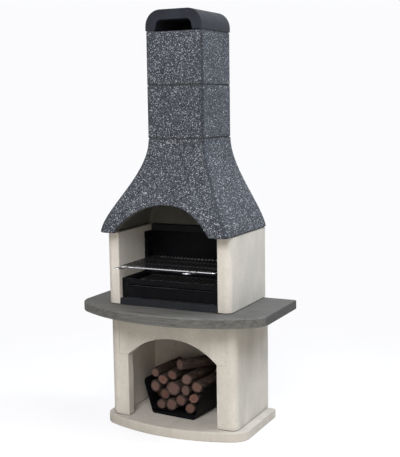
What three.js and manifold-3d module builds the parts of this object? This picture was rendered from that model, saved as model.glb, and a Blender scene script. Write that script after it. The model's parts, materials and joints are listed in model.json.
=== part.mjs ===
// Outdoor masonry barbecue with a log niche, a worktop, a fire box, a flared hood and a square chimney.
// Millimetres, +Z up. The origin is on the ground under the middle of the worktop.
// +X is to the right of someone who stands at the fire, and -Y is the front.
import * as THREE from 'three';
import { mergeVertices } from 'three/addons/utils/BufferGeometryUtils.js';
import Module from 'manifold-3d';

const wasm = await Module();
wasm.setup();

// Clearances that many pieces share
const fit = 0.3;
const bedThickness = 3;
const bedInset = 4;
const overrun = 10;
const weldDistance = 1e-4;

// Ground slab, with a bowed front and square back corners
const slabWidth = 794;
const slabDepth = 492;
const slabThickness = 50;
const slabBowRadius = 900;
const slabCornerRadius = 90;
const slabChamfer = 4;

// Base walls: two sides with front piers, a back and an arched lintel
const baseWidth = 710;
const baseDepth = 411;
const baseHeight = 536;
const baseWall = 52;
const baseBackThickness = 40;
const baseCornerRadius = 40;
const pierThickness = 50;
const pierLedge = 50;
const nicheWidth = 500;
const archSpringHeight = 323;
const archRise = 104;

// Worktop
const worktopWidth = 1024;
const worktopDepth = 600;
const worktopThickness = 50;
const worktopBowRadius = 853;
const worktopCornerRadius = 118;
const worktopChamfer = 5;

// Standard cooking grate, which sets the width between the walls round the fire
const grateWidth = 531;
const grateSideGap = 6.5;

// Walls and floor round the fire
const hearthWidth = grateWidth + 2 * grateSideGap;
const hearthHeight = 365;
const hearthWall = 70;
const hearthWallDepth = 440;
const hearthCornerRadius = 34;
const hearthInnerRadius = 6;
const hearthBackThickness = 60;
const liningThickness = 41;
const hearthFloorThickness = 33;
const hearthFloorSetback = 2;

// Hood, cast in one piece with an arched mouth and a flare to the chimney
const hoodHeight = 460;
const hoodOverhang = 9;
const hoodDepth = 505;
const hoodCornerRadius = 36;
const hoodBackRadius = 8;
const hoodSetback = 16;
const hoodFrontWall = 40;
const hoodInnerBack = 100;
const hoodInnerRadius = 20;
const hoodArchNarrowing = 13;
const hoodArchRise = 142;
const hoodLevels = 16;
const sideFlareShares = [[0, 0], [0.35, 0], [0.75, 0.88], [1, 1]];
const frontFlareShares = [[0, 0], [0.45, 0], [0.72, 1], [1, 1]];

// Chimney: two hollow sections with a tongue and rebate, and a cap with its mouth to the front
const chimneyWidth = 310;
const chimneyDepth = 328;
const chimneySectionHeight = 258;
const chimneyCornerRadius = 14;
const chimneySideWall = 51;
const chimneyFrontWall = 56;
const chimneyBackWall = 56;
const flueCornerRadius = 20;
const tongueWidth = 16;
const tongueHeight = 8;
const tongueClearance = 1;
const capHeight = 102;
const capShoulderRadius = 80;
const capMouthWidth = 204;
const capMouthHeight = 52;
const capMouthTopWidth = 184;
const capMouthRadius = 28;
const capBackThickness = 40;

// Sheet steel behind the fire: a heat shield, and two slotted carriers for the cooking grate
const sheet = 3;
const shieldHeight = 305;
const shieldSideGap = 6;
const carrierDepth = 72;
const carrierBackWidth = 50;
const carrierFrontLip = 15;
const runnerWidth = 14;
const runnerCount = 3;
const runnerPitch = 50;
const runnerPlay = 1;
const screwRadius = 3;
const screwHeadRadius = 6;
const screwHeadThickness = 3;
const screwLength = 24;
const screwTopDistance = 40;
const screwFootDistance = 45;

// Fire box on the hearth floor, with its charcoal pan, ember grate and ash drawer
const boxHeight = 100;
const boxFrontDepth = 415;
const boxWallGap = 2;
const boxStileWidth = 27;
const boxShelfHeight = 68;
const boxShelfWidth = 34;
const drawerGap = 2;
const gripReach = 8;
const gripHeight = 12;
const traySheet = 2;
const panRim = 20;
const emberGrateSideGap = 29;
const emberGrateEndGap = 13.5;
const emberGrateThickness = 12;
const emberGrateBorder = 20;
const emberSlotPitch = 26;
const emberBarWidth = 12;

// Cooking grate of chromed wire
const grateFrontDepth = 450.5;
const grateHeightAboveFloor = 163;
const grateBackGap = 3;
const grateRodRadius = 3.5;
const grateCornerRadius = 14;
const grateBarRadius = 2.25;
const grateBarPitch = 20;
const grateBarOverhang = 2;
const grateTieRadius = 2.5;
const grateTieCount = 2;
const grateWeldDepth = 1;
const handleRodRadius = 3;
const handleReach = 90;
const handleWidth = 36;
const handleRise = 8;
const handleLeftInset = 33.5;
const handleRightInset = 113.5;
const handleShares = [[1, 0], [1, 0.3], [1, 0.62], [0.95, 0.84], [0.6, 0.97], [0, 1]];

// Log basket of folded sheet, with a raised floor and flared sides
const basketPlace = -27;
const basketBackGap = 40;
const basketTurn = THREE.MathUtils.degToRad(-5);
const basketLength = 250;
const basketFootWidth = 252;
const basketTopWidth = 368;
const basketHeight = 176;
const basketFloorHeight = 28;
const basketFootRadius = 18;
const basketEndRadius = 24;

// Logs, as shares of a middling radius, of half the basket's width at the top, and twice of its length:
// how thick, where across the basket, how long, and how far the front end stands out of the basket.
// Each log is let down at its place and rolls into the nearest hollow.
const logRadius = 31;
const logSides = 24;
const rollShare = 0.25;
const rollEndShare = 1e-4;
const logShares = [
  [1.13, -0.04, 1.05, 0.02],
  [0.87, -0.38, 1.02, 0.02],
  [1, 0.6, 1.03, 0.01],
  [1, 0.28, 1.04, 0.03],
  [1, 0.49, 1.02, 0.03],
  [1, -0.48, 0.74, -0.28],
  [0.97, -0.21, 1.02, -0.02],
  [1.06, -0.6, 1.05, 0.04],
  [1.32, -0.07, 1.06, 0.03],
  [0.97, 0.38, 1, 0.01],
  [1.06, 0.54, 1.04, 0.02],
  [1.03, -0.74, 0.6, -0.4],
  [1, -0.3, 1.03, 0.05],
  [0.48, 0.33, 0.6, -0.4],
  [0.94, -0.04, 1.02, 0.02],
  [1.06, 0.28, 1.06, 0.05],
  [0.81, -0.43, 1, 0.03],
];

// The last log lies across the pile, turned in plan
const topLogRadius = 36;
const topLogLength = 262;
const topLogPlace = 45;
const topLogStandOut = 4;
const topLogTurn = THREE.MathUtils.degToRad(-30);

// Heights of the stack, from the ground up
const slabTop = slabThickness;
const baseFoot = slabTop + bedThickness;
const baseTop = baseFoot + baseHeight;
const worktopFoot = baseTop + bedThickness;
const worktopTop = worktopFoot + worktopThickness;
const hearthFoot = worktopTop + bedThickness;
const hearthTop = hearthFoot + hearthHeight;
const hearthFloorTop = worktopTop + hearthFloorThickness;
const hoodFoot = hearthTop + bedThickness;
const hoodTop = hoodFoot + hoodHeight;
const lowerFoot = hoodTop + bedThickness;
const lowerTop = lowerFoot + chimneySectionHeight;
const upperFoot = lowerTop + bedThickness;
const upperTop = upperFoot + chimneySectionHeight;
const capFoot = upperTop + bedThickness;

// Widths of the hood and the flue, from what they stand on and what they stand in
const hoodWidth = hearthWidth + 2 * (hearthWall + hoodOverhang);
const hoodInnerWidth = hearthWidth + 2 * hoodSetback;
const hoodInnerFront = hoodDepth - hoodFrontWall;
const hoodArchWidth = hearthWidth - 2 * hoodArchNarrowing;
const flueWidth = chimneyWidth - 2 * chimneySideWall;
const flueFront = chimneyDepth - chimneyFrontWall;
const flueBack = chimneyBackWall;

// All backs stand in one plane, and depths are measured forward from it
const backY = worktopDepth / 2;
const atDepth = (depth) => backY - depth;

// Depths of the layers behind the fire, and the place of the cooking grate
const hearthInner = hearthWidth / 2;
const liningFront = hearthBackThickness + fit + liningThickness;
const shieldFront = liningFront + fit + sheet;
const carrierBack = shieldFront + fit;
const carrierFront = carrierBack + carrierDepth;
const carrierOuter = hearthInner - fit;
const boxBackDepth = carrierFront + boxWallGap;
const grateZ = hearthFloorTop + grateHeightAboveFloor;
const grateBackDepth = carrierBack + sheet + grateBackGap;

// Finishes
function finish(color, roughness, metalness) {
  return new THREE.MeshStandardMaterial({ color, roughness, metalness });
}

const pebbleConcrete = finish(0x53585f, 0.9, 0);
const smoothSlate = finish(0x33373c, 0.65, 0);
const stoneTop = finish(0x77746c, 0.75, 0);
const creamConcrete = finish(0xdad2c4, 0.85, 0);
const adhesive = finish(0x2c2c2e, 0.9, 0);
const darkRefractory = finish(0x2b2e33, 0.85, 0);
const blackSteel = finish(0x15161a, 0.5, 0.6);
const castIron = finish(0x1c1c1d, 0.8, 0.5);
const chromedWire = finish(0xc8ccd0, 0.2, 1);
const barkAndWood = finish(0x7a5a48, 0.9, 0);

// Geometry as a solid for cuts and joins, and back
function solidOf(geometry) {
  const bare = geometry.clone();
  bare.deleteAttribute('normal');
  bare.deleteAttribute('uv');
  const merged = mergeVertices(bare, weldDistance);
  const vertProperties = new Float32Array(merged.getAttribute('position').array);
  const triVerts = new Uint32Array(merged.index.array);
  return new wasm.Manifold(new wasm.Mesh({ numProp: 3, vertProperties, triVerts }));
}

function geometryOf(solid) {
  const mesh = solid.getMesh();
  const geometry = new THREE.BufferGeometry();
  geometry.setAttribute('position', new THREE.BufferAttribute(new Float32Array(mesh.vertProperties), 3));
  geometry.setIndex(new THREE.BufferAttribute(new Uint32Array(mesh.triVerts), 1));
  geometry.computeVertexNormals();
  return geometry;
}

function joined(...geometries) {
  return geometryOf(geometries.map(solidOf).reduce((whole, next) => whole.add(next)));
}

function without(geometry, ...cutters) {
  const solid = cutters.map(solidOf).reduce((whole, cutter) => whole.subtract(cutter), solidOf(geometry));
  return geometryOf(solid);
}

function common(first, second) {
  return geometryOf(solidOf(first).intersect(solidOf(second)));
}

// The same piece for the other side of the middle plane
function mirrored(geometry) {
  const copy = geometryOf(solidOf(geometry)).scale(-1, 1, 1);
  const index = copy.getIndex();
  for (let corner = 0; corner < index.count; corner += 3) {
    const kept = index.getX(corner);
    index.setX(corner, index.getX(corner + 1));
    index.setX(corner + 1, kept);
  }
  copy.computeVertexNormals();
  return copy;
}

// A closed outline from corners [x, y, radius], rounded where the radius is over zero
function outline(corners) {
  const shape = new THREE.Shape();
  corners.forEach(([x, y, radius], index) => {
    if (!radius) {
      if (index === 0) shape.moveTo(x, y);
      else shape.lineTo(x, y);
      return;
    }
    const corner = new THREE.Vector2(x, y);
    const before = corners[(index + corners.length - 1) % corners.length];
    const after = corners[(index + 1) % corners.length];
    const toBefore = new THREE.Vector2(before[0], before[1]).sub(corner).normalize();
    const toAfter = new THREE.Vector2(after[0], after[1]).sub(corner).normalize();
    const half = Math.acos(THREE.MathUtils.clamp(toBefore.dot(toAfter), -1, 1)) / 2;
    const reach = radius / Math.tan(half);
    const centre = toBefore.clone().add(toAfter).setLength(radius / Math.sin(half)).add(corner);
    const start = toBefore.clone().multiplyScalar(reach).add(corner).sub(centre);
    const end = toAfter.clone().multiplyScalar(reach).add(corner).sub(centre);
    const clockwise = toBefore.cross(toAfter) > 0;
    shape.absarc(centre.x, centre.y, radius, start.angle(), end.angle(), clockwise);
  });
  shape.closePath();
  return shape;
}

// A rectangle in plan, by its half width, its two depths, and the radius of its front and back corners
function planRectangle(halfWidth, frontDepth, backDepth, frontRadius, backRadius) {
  return outline([
    [-halfWidth, atDepth(frontDepth), frontRadius],
    [halfWidth, atDepth(frontDepth), frontRadius],
    [halfWidth, atDepth(backDepth), backRadius],
    [-halfWidth, atDepth(backDepth), backRadius],
  ]);
}

// A slab in plan with straight sides, a bowed front and rounded front corners
function bowedPlan(width, depth, bowRadius, cornerRadius) {
  const halfWidth = width / 2;
  const bowCentreY = atDepth(depth) + bowRadius;
  const cornerX = halfWidth - cornerRadius;
  const cornerY = bowCentreY - Math.sqrt((bowRadius - cornerRadius) ** 2 - cornerX ** 2);
  const bowAngle = Math.atan2(cornerY - bowCentreY, cornerX);
  const shape = new THREE.Shape();
  shape.moveTo(halfWidth, backY);
  shape.lineTo(-halfWidth, backY);
  shape.absarc(-cornerX, cornerY, cornerRadius, Math.PI, Math.PI - bowAngle, false);
  shape.absarc(0, bowCentreY, bowRadius, Math.PI - bowAngle, 2 * Math.PI + bowAngle, false);
  shape.absarc(cornerX, cornerY, cornerRadius, bowAngle, 0, false);
  shape.closePath();
  return shape;
}

// Adds a segmental arch over the middle plane to an outline, from its left foot to its right
function archOver(shape, halfSpan, foot, rise) {
  const radius = (halfSpan ** 2 + rise ** 2) / (2 * rise);
  const centreHeight = foot + rise - radius;
  const footAngle = Math.atan2(foot - centreHeight, halfSpan);
  shape.absarc(0, centreHeight, radius, Math.PI - footAngle, footAngle, true);
}

// Extrusions upright, from front to back and from left to right
function upright(shape, foot, top, curveSegments = 4) {
  const options = { depth: top - foot, bevelEnabled: false, curveSegments };
  return new THREE.ExtrudeGeometry(shape, options).translate(0, 0, foot);
}

function frontToBack(shape, frontY, rearY, curveSegments = 6) {
  const options = { depth: rearY - frontY, bevelEnabled: false, curveSegments };
  return new THREE.ExtrudeGeometry(shape, options).rotateX(Math.PI / 2).translate(0, rearY, 0);
}

function leftToRight(shape, leftX, rightX, curveSegments = 4) {
  const options = { depth: rightX - leftX, bevelEnabled: false, curveSegments };
  const geometry = new THREE.ExtrudeGeometry(shape, options).rotateX(Math.PI / 2).rotateZ(Math.PI / 2);
  return geometry.translate(leftX, 0, 0);
}

function chamferedSlab(shape, foot, thickness, chamfer) {
  const options = {
    depth: thickness - 2 * chamfer,
    bevelThickness: chamfer,
    bevelSize: chamfer,
    bevelOffset: -chamfer,
    bevelSegments: 1,
    curveSegments: 8,
  };
  return new THREE.ExtrudeGeometry(shape, options).translate(0, 0, foot + chamfer);
}

// A block by its lowest and its highest corner
function block([x0, y0, z0], [x1, y1, z1]) {
  const box = new THREE.BoxGeometry(x1 - x0, y1 - y0, z1 - z0);
  return box.translate((x0 + x1) / 2, (y0 + y1) / 2, (z0 + z1) / 2);
}

// Round bars along Y and along X, by the place of the axis and the two ends
function barAlongY(radius, x, z, frontY, rearY, sides) {
  const bar = new THREE.CylinderGeometry(radius, radius, rearY - frontY, sides);
  return bar.translate(x, (frontY + rearY) / 2, z);
}

function barAlongX(radius, y, z, leftX, rightX, sides) {
  const bar = new THREE.CylinderGeometry(radius, radius, rightX - leftX, sides).rotateZ(Math.PI / 2);
  return bar.translate((leftX + rightX) / 2, y, z);
}

// A solid skin over rings of plan points, each at its height, stacked upward and run anticlockwise
function loft(rings) {
  const count = rings[0].points.length;
  const positions = rings.flatMap(({ points, height }) => points.flatMap(({ x, y }) => [x, y, height]));
  const indices = [];
  for (let level = 0; level < rings.length - 1; level += 1) {
    for (let step = 0; step < count; step += 1) {
      const a = level * count + step;
      const b = level * count + ((step + 1) % count);
      indices.push(a, b, b + count, a, b + count, a + count);
    }
  }
  const top = (rings.length - 1) * count;
  const last = rings[rings.length - 1];
  const { triangulateShape } = THREE.ShapeUtils;
  triangulateShape(rings[0].points, []).forEach(([a, b, c]) => indices.push(a, c, b));
  triangulateShape(last.points, []).forEach(([a, b, c]) => indices.push(top + a, top + b, top + c));
  const geometry = new THREE.BufferGeometry();
  geometry.setAttribute('position', new THREE.Float32BufferAttribute(positions, 3));
  geometry.setIndex(indices);
  return geometry;
}

// The points of an outline, each once
function ringPoints(shape, curveSegments) {
  const points = shape.getPoints(curveSegments);
  return points.filter((point, index) => {
    const next = points[(index + 1) % points.length];
    return point.distanceTo(next) > Number.EPSILON ** 0.5 * point.length();
  });
}

// A closed ring of round wire that follows a plan outline at one height
function wireRing(shape, radius, height, curveSegments, sides) {
  const path = ringPoints(shape, curveSegments);
  const positions = [];
  const indices = [];
  path.forEach((point, index) => {
    const before = path[(index + path.length - 1) % path.length];
    const after = path[(index + 1) % path.length];
    const inward = point.clone().sub(before).normalize();
    const onward = after.clone().sub(point).normalize();
    const normal = new THREE.Vector2(inward.y + onward.y, -inward.x - onward.x).normalize();
    const mitre = 1 / normal.dot(new THREE.Vector2(onward.y, -onward.x));
    const nextIndex = (index + 1) % path.length;
    for (let side = 0; side < sides; side += 1) {
      const angle = (2 * Math.PI * side) / sides;
      const outward = radius * Math.cos(angle) * mitre;
      const rise = radius * Math.sin(angle);
      positions.push(point.x + normal.x * outward, point.y + normal.y * outward, height + rise);
      const a = index * sides + side;
      const b = index * sides + ((side + 1) % sides);
      const c = nextIndex * sides + ((side + 1) % sides);
      const d = nextIndex * sides + side;
      indices.push(a, d, c, a, c, b);
    }
  });
  const geometry = new THREE.BufferGeometry();
  geometry.setAttribute('position', new THREE.Float32BufferAttribute(positions, 3));
  geometry.setIndex(indices);
  return geometry;
}

const barbecue = new THREE.Group();
const masonry = new THREE.Group();
const fireSet = new THREE.Group();
const cookingGrate = new THREE.Group();
const basket = new THREE.Group();
barbecue.add(masonry, fireSet, cookingGrate, basket);

function add(group, name, geometry, material) {
  const mesh = new THREE.Mesh(geometry, material);
  mesh.name = name;
  group.add(mesh);
  return mesh;
}

// Ground slab and worktop
function addSlabs() {
  const slabPlan = bowedPlan(slabWidth, slabDepth, slabBowRadius, slabCornerRadius);
  add(masonry, 'base_slab', chamferedSlab(slabPlan, 0, slabThickness, slabChamfer), creamConcrete);
  const topPlan = bowedPlan(worktopWidth, worktopDepth, worktopBowRadius, worktopCornerRadius);
  add(masonry, 'worktop', chamferedSlab(topPlan, worktopFoot, worktopThickness, worktopChamfer), stoneTop);
}

// Base: each side is an L in plan, and above the arch spring its pier steps back to carry the lintel
function addBase() {
  const outer = baseWidth / 2;
  const inner = outer - baseWall;
  const pierEdge = nicheWidth / 2;
  const ledgeEdge = pierEdge + pierLedge;
  const front = atDepth(baseDepth);
  const pierBack = front + pierThickness;
  const backInner = atDepth(baseBackThickness);
  const spring = baseFoot + archSpringHeight;
  const sidePlan = outline([
    [outer, front, baseCornerRadius],
    [outer, backY, 0],
    [inner, backY, 0],
    [inner, pierBack, 0],
    [pierEdge, pierBack, 0],
    [pierEdge, front, 0],
  ]);
  const seatLow = [pierEdge - overrun, front - overrun, spring];
  const seat = block(seatLow, [ledgeEdge, pierBack + fit, baseTop + overrun]);
  const side = without(upright(sidePlan, baseFoot, baseTop), seat);
  add(masonry, 'base_side_right', side, creamConcrete);
  add(masonry, 'base_side_left', mirrored(side), creamConcrete);

  const back = block([-inner + fit, backInner, baseFoot], [inner - fit, backY, baseTop]);
  add(masonry, 'base_back', back, creamConcrete);

  const lintelEdge = ledgeEdge - fit;
  const lintel = new THREE.Shape();
  lintel.moveTo(-lintelEdge, spring);
  lintel.lineTo(-pierEdge, spring);
  archOver(lintel, pierEdge, spring, archRise);
  lintel.lineTo(lintelEdge, spring);
  lintel.lineTo(lintelEdge, baseTop);
  lintel.lineTo(-lintelEdge, baseTop);
  lintel.closePath();
  add(masonry, 'base_arch', frontToBack(lintel, front, pierBack, 12), creamConcrete);

  const rim = bedInset;
  const footHalf = [
    [pierEdge + rim, pierBack - rim, 0],
    [pierEdge + rim, front + rim, 0],
    [outer - rim, front + rim, baseCornerRadius - rim],
    [outer - rim, backY - rim, 0],
  ];
  const footInner = [
    [-inner - rim, pierBack - rim, 0],
    [-inner - rim, backInner + rim, 0],
    [inner + rim, backInner + rim, 0],
    [inner + rim, pierBack - rim, 0],
  ];
  const otherHalf = footHalf.map(([x, y, radius]) => [-x, y, radius]).reverse();
  const footPlan = outline([...footHalf, ...otherHalf, ...footInner]);
  add(masonry, 'bed_base', upright(footPlan, slabTop, baseFoot), adhesive);

  const topBed = planRectangle(outer - rim, baseDepth - rim, rim, baseCornerRadius - rim, 0);
  const holeFront = baseDepth - pierThickness + rim;
  topBed.holes.push(planRectangle(inner + rim, holeFront, baseBackThickness - rim, 0, 0));
  add(masonry, 'bed_worktop', upright(topBed, baseTop, worktopFoot), adhesive);
}

// An adhesive bed on the walls round the fire, U-shaped in plan and open to the front
function openBed(inner, foot, top) {
  const outerEdge = hearthInner + hearthWall - bedInset;
  const innerEdge = inner + bedInset;
  const front = atDepth(hearthWallDepth) + bedInset;
  const back = backY - bedInset;
  const backInner = atDepth(hearthBackThickness) + bedInset;
  const radius = hearthCornerRadius - bedInset;
  return upright(outline([
    [innerEdge, front, 0],
    [outerEdge, front, radius],
    [outerEdge, back, 0],
    [-outerEdge, back, 0],
    [-outerEdge, front, radius],
    [-innerEdge, front, 0],
    [-innerEdge, backInner, 0],
    [innerEdge, backInner, 0],
  ]), foot, top);
}

// Walls, floor and lining round the fire
function addHearth() {
  const outer = hearthInner + hearthWall;
  const front = atDepth(hearthWallDepth);
  const wallPlan = outline([
    [hearthInner, front, hearthInnerRadius],
    [outer, front, hearthCornerRadius],
    [outer, backY, 0],
    [hearthInner, backY, 0],
  ]);
  const wall = upright(wallPlan, hearthFoot, hearthTop);
  add(masonry, 'hearth_wall_right', wall, creamConcrete);
  add(masonry, 'hearth_wall_left', mirrored(wall), creamConcrete);

  const edge = hearthInner - fit;
  const back = block([-edge, atDepth(hearthBackThickness), hearthFoot], [edge, backY, hearthTop]);
  add(masonry, 'hearth_back', back, creamConcrete);

  const liningBack = atDepth(hearthBackThickness + fit);
  const floorFront = front + hearthFloorSetback;
  const floor = block([-edge, floorFront, worktopTop], [edge, liningBack, hearthFloorTop]);
  add(masonry, 'hearth_floor', floor, darkRefractory);

  const screws = screwPlaces();
  const lining = block([-edge, atDepth(liningFront), hearthFloorTop], [edge, liningBack, hearthTop]);
  add(masonry, 'fireback_lining', without(lining, ...screws.map(screwHole)), darkRefractory);

  add(masonry, 'bed_hearth', openBed(hearthInner, worktopTop, hearthFoot), adhesive);
  add(masonry, 'bed_hood', openBed(hoodInnerWidth / 2, hearthTop, hoodFoot), adhesive);
}

// Places of the screws that hold the grate carriers, and the hole that each screw passes through
function screwPlaces() {
  const x = carrierOuter - carrierBackWidth / 2;
  const shieldTop = hearthFloorTop + shieldHeight;
  return [
    { name: 'carrier_screw_top_left', x: -x, z: shieldTop - screwTopDistance },
    { name: 'carrier_screw_top_right', x, z: shieldTop - screwTopDistance },
    { name: 'carrier_screw_foot_left', x: -x, z: hearthFloorTop + screwFootDistance },
    { name: 'carrier_screw_foot_right', x, z: hearthFloorTop + screwFootDistance },
  ];
}

function screwHole({ x, z }) {
  const seatY = atDepth(carrierBack + sheet);
  return barAlongY(screwRadius + fit, x, z, seatY - overrun, seatY + screwLength + fit, 12);
}

// Heat shield, grate carriers and their screws
function addFireback() {
  const screws = screwPlaces();
  const holes = screws.map(screwHole);
  const shieldEdge = hearthInner - shieldSideGap;
  const shieldTop = hearthFloorTop + shieldHeight;
  const shieldLow = [-shieldEdge, atDepth(shieldFront), hearthFloorTop];
  const shield = block(shieldLow, [shieldEdge, atDepth(shieldFront - sheet), shieldTop]);
  add(fireSet, 'heat_shield', without(shield, ...holes), blackSteel);

  const front = atDepth(carrierFront);
  const rear = atDepth(carrierBack);
  const inner = carrierOuter - sheet;
  const channel = upright(outline([
    [carrierOuter - carrierBackWidth, rear, 0],
    [carrierOuter - carrierBackWidth, rear - sheet, 0],
    [inner, rear - sheet, 0],
    [inner, front + sheet, 0],
    [inner - carrierFrontLip, front + sheet, 0],
    [inner - carrierFrontLip, front, 0],
    [carrierOuter, front, 0],
    [carrierOuter, rear, 0],
  ]), hearthFloorTop, shieldTop);
  const shelves = [];
  const notches = [];
  for (let row = 0; row < runnerCount; row += 1) {
    const rodZ = grateZ + row * runnerPitch;
    const below = rodZ - grateRodRadius - fit;
    const above = rodZ + grateRodRadius + runnerPlay;
    const shelfX = inner - runnerWidth;
    shelves.push(block([shelfX, front, below - sheet], [carrierOuter, rear - sheet / 2, below]));
    shelves.push(block([shelfX, front, above], [carrierOuter, rear - sheet / 2, above + sheet]));
    notches.push(block([shelfX - overrun, front - overrun, below], [inner, front + sheet + overrun, above]));
  }
  const carrier = without(joined(channel, ...shelves), ...notches, ...holes);
  add(fireSet, 'grate_carrier_right', carrier, blackSteel);
  add(fireSet, 'grate_carrier_left', mirrored(carrier), blackSteel);

  screws.forEach(({ name, x, z }) => {
    const seatY = atDepth(carrierBack + sheet) - fit;
    const shank = barAlongY(screwRadius, x, z, seatY - screwHeadThickness / 2, seatY + screwLength, 12);
    const head = barAlongY(screwHeadRadius, x, z, seatY - screwHeadThickness, seatY, 6);
    add(fireSet, name, joined(shank, head), blackSteel);
  });
}

// Share of the flare at a share of the hood's height from the top, along a smooth curve
function flareShare(heightShare, curveShares) {
  const [start, startPull, endPull, end] = curveShares.map(([x, y]) => new THREE.Vector2(x, y));
  const points = new THREE.CubicBezierCurve(start, startPull, endPull, end).getPoints(64);
  const next = Math.max(1, points.findIndex((point) => point.x >= heightShare));
  const low = points[next - 1];
  const high = points[next];
  return THREE.MathUtils.mapLinear(heightShare, low.x, high.x, low.y, high.y);
}

// One ring of the hood, between its size at the chimney and its size at the foot
function hoodRing(heightShare, height, atChimney, atFoot) {
  const side = flareShare(heightShare, sideFlareShares);
  const forward = flareShare(heightShare, frontFlareShares);
  const { lerp } = THREE.MathUtils;
  const plan = planRectangle(
    lerp(atChimney.width, atFoot.width, side) / 2,
    lerp(atChimney.front, atFoot.front, forward),
    lerp(atChimney.back, atFoot.back, side),
    lerp(atChimney.frontRadius, atFoot.frontRadius, side),
    lerp(atChimney.backRadius, atFoot.backRadius, side),
  );
  return { points: ringPoints(plan, 3), height };
}

function hoodRings(atChimney, atFoot) {
  const rings = [];
  for (let level = 0; level <= hoodLevels; level += 1) {
    const heightShare = 1 - level / hoodLevels;
    rings.push(hoodRing(heightShare, hoodTop - heightShare * hoodHeight, atChimney, atFoot));
  }
  return rings;
}

// The flue in plan, widened all round for a tongue or its rebate
function fluePlan(widening) {
  const radius = flueCornerRadius + widening;
  return planRectangle(flueWidth / 2 + widening, flueFront + widening, flueBack - widening, radius, radius);
}

function tongueOn(top) {
  return upright(fluePlan(tongueWidth), top - tongueHeight, top + tongueHeight);
}

function addHood() {
  const outerTop = {
    width: chimneyWidth,
    front: chimneyDepth,
    back: 0,
    frontRadius: chimneyCornerRadius,
    backRadius: hoodBackRadius,
  };
  const outerFoot = {
    width: hoodWidth,
    front: hoodDepth,
    back: 0,
    frontRadius: hoodCornerRadius,
    backRadius: hoodBackRadius,
  };
  const flue = {
    width: flueWidth,
    front: flueFront,
    back: flueBack,
    frontRadius: flueCornerRadius,
    backRadius: flueCornerRadius,
  };
  const mouth = {
    width: hoodInnerWidth,
    front: hoodInnerFront,
    back: hoodInnerBack,
    frontRadius: hoodInnerRadius,
    backRadius: hoodInnerRadius,
  };
  const inner = [
    hoodRing(1, hoodFoot - overrun, flue, mouth),
    ...hoodRings(flue, mouth),
    hoodRing(0, hoodTop + tongueHeight + overrun, flue, mouth),
  ];
  const halfSpan = hoodArchWidth / 2;
  const arch = new THREE.Shape();
  arch.moveTo(-halfSpan, hoodFoot - overrun);
  arch.lineTo(-halfSpan, hoodFoot);
  archOver(arch, halfSpan, hoodFoot, hoodArchRise);
  arch.lineTo(halfSpan, hoodFoot - overrun);
  arch.closePath();
  const archCut = frontToBack(arch, atDepth(hoodDepth) - overrun, atDepth(flueFront), 12);
  const body = joined(loft(hoodRings(outerTop, outerFoot)), tongueOn(hoodTop));
  add(masonry, 'hood', without(body, loft(inner), archCut), pebbleConcrete);
}

// One chimney section, with a rebate round the flue at its foot and a tongue on top where another follows
function chimneySection(foot, top, hasTongue) {
  const plan = planRectangle(chimneyWidth / 2, chimneyDepth, 0, chimneyCornerRadius, chimneyCornerRadius);
  const body = upright(plan, foot, top);
  const whole = hasTongue ? joined(body, tongueOn(top)) : body;
  const flue = upright(fluePlan(0), foot - overrun, top + tongueHeight + overrun);
  const rebateTop = foot - bedThickness + tongueHeight + tongueClearance;
  const rebate = upright(fluePlan(tongueWidth + tongueClearance), foot - overrun, rebateTop);
  return without(whole, flue, rebate);
}

function chimneyBed(foot, top) {
  const rim = bedInset;
  const radius = chimneyCornerRadius - rim;
  const plan = planRectangle(chimneyWidth / 2 - rim, chimneyDepth - rim, rim, radius, radius);
  plan.holes.push(fluePlan(tongueWidth + tongueClearance));
  return upright(plan, foot, top);
}

function addChimney() {
  add(masonry, 'bed_chimney_lower', chimneyBed(hoodTop, lowerFoot), adhesive);
  add(masonry, 'chimney_lower', chimneySection(lowerFoot, lowerTop, true), pebbleConcrete);
  add(masonry, 'bed_chimney_upper', chimneyBed(lowerTop, upperFoot), adhesive);
  add(masonry, 'chimney_upper', chimneySection(upperFoot, upperTop, false), pebbleConcrete);

  const outer = chimneyWidth / 2;
  const mouth = capMouthWidth / 2;
  const mouthTop = capMouthTopWidth / 2;
  const front = atDepth(chimneyDepth);
  const mouthBack = atDepth(capBackThickness);
  const capTop = capFoot + capHeight;
  const capProfile = outline([
    [-outer, capFoot, 0],
    [outer, capFoot, 0],
    [outer, capTop, capShoulderRadius],
    [-outer, capTop, capShoulderRadius],
  ]);
  const mouthProfile = outline([
    [-mouth, capFoot - overrun, 0],
    [-mouth, capFoot, 0],
    [-mouthTop, capFoot + capMouthHeight, capMouthRadius],
    [mouthTop, capFoot + capMouthHeight, capMouthRadius],
    [mouth, capFoot, 0],
    [mouth, capFoot - overrun, 0],
  ]);
  const capMouth = frontToBack(mouthProfile, front - overrun, mouthBack);
  add(masonry, 'chimney_cap', without(frontToBack(capProfile, front, backY), capMouth), smoothSlate);

  const rim = bedInset;
  const bedRadius = chimneyCornerRadius - rim;
  const bedPlan = outline([
    [mouth + rim, front + rim, 0],
    [outer - rim, front + rim, bedRadius],
    [outer - rim, backY - rim, bedRadius],
    [rim - outer, backY - rim, bedRadius],
    [rim - outer, front + rim, bedRadius],
    [-mouth - rim, front + rim, 0],
    [-mouth - rim, mouthBack + rim, 0],
    [mouth + rim, mouthBack + rim, 0],
  ]);
  add(masonry, 'bed_cap', upright(bedPlan, upperTop, capFoot), adhesive);
}

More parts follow.
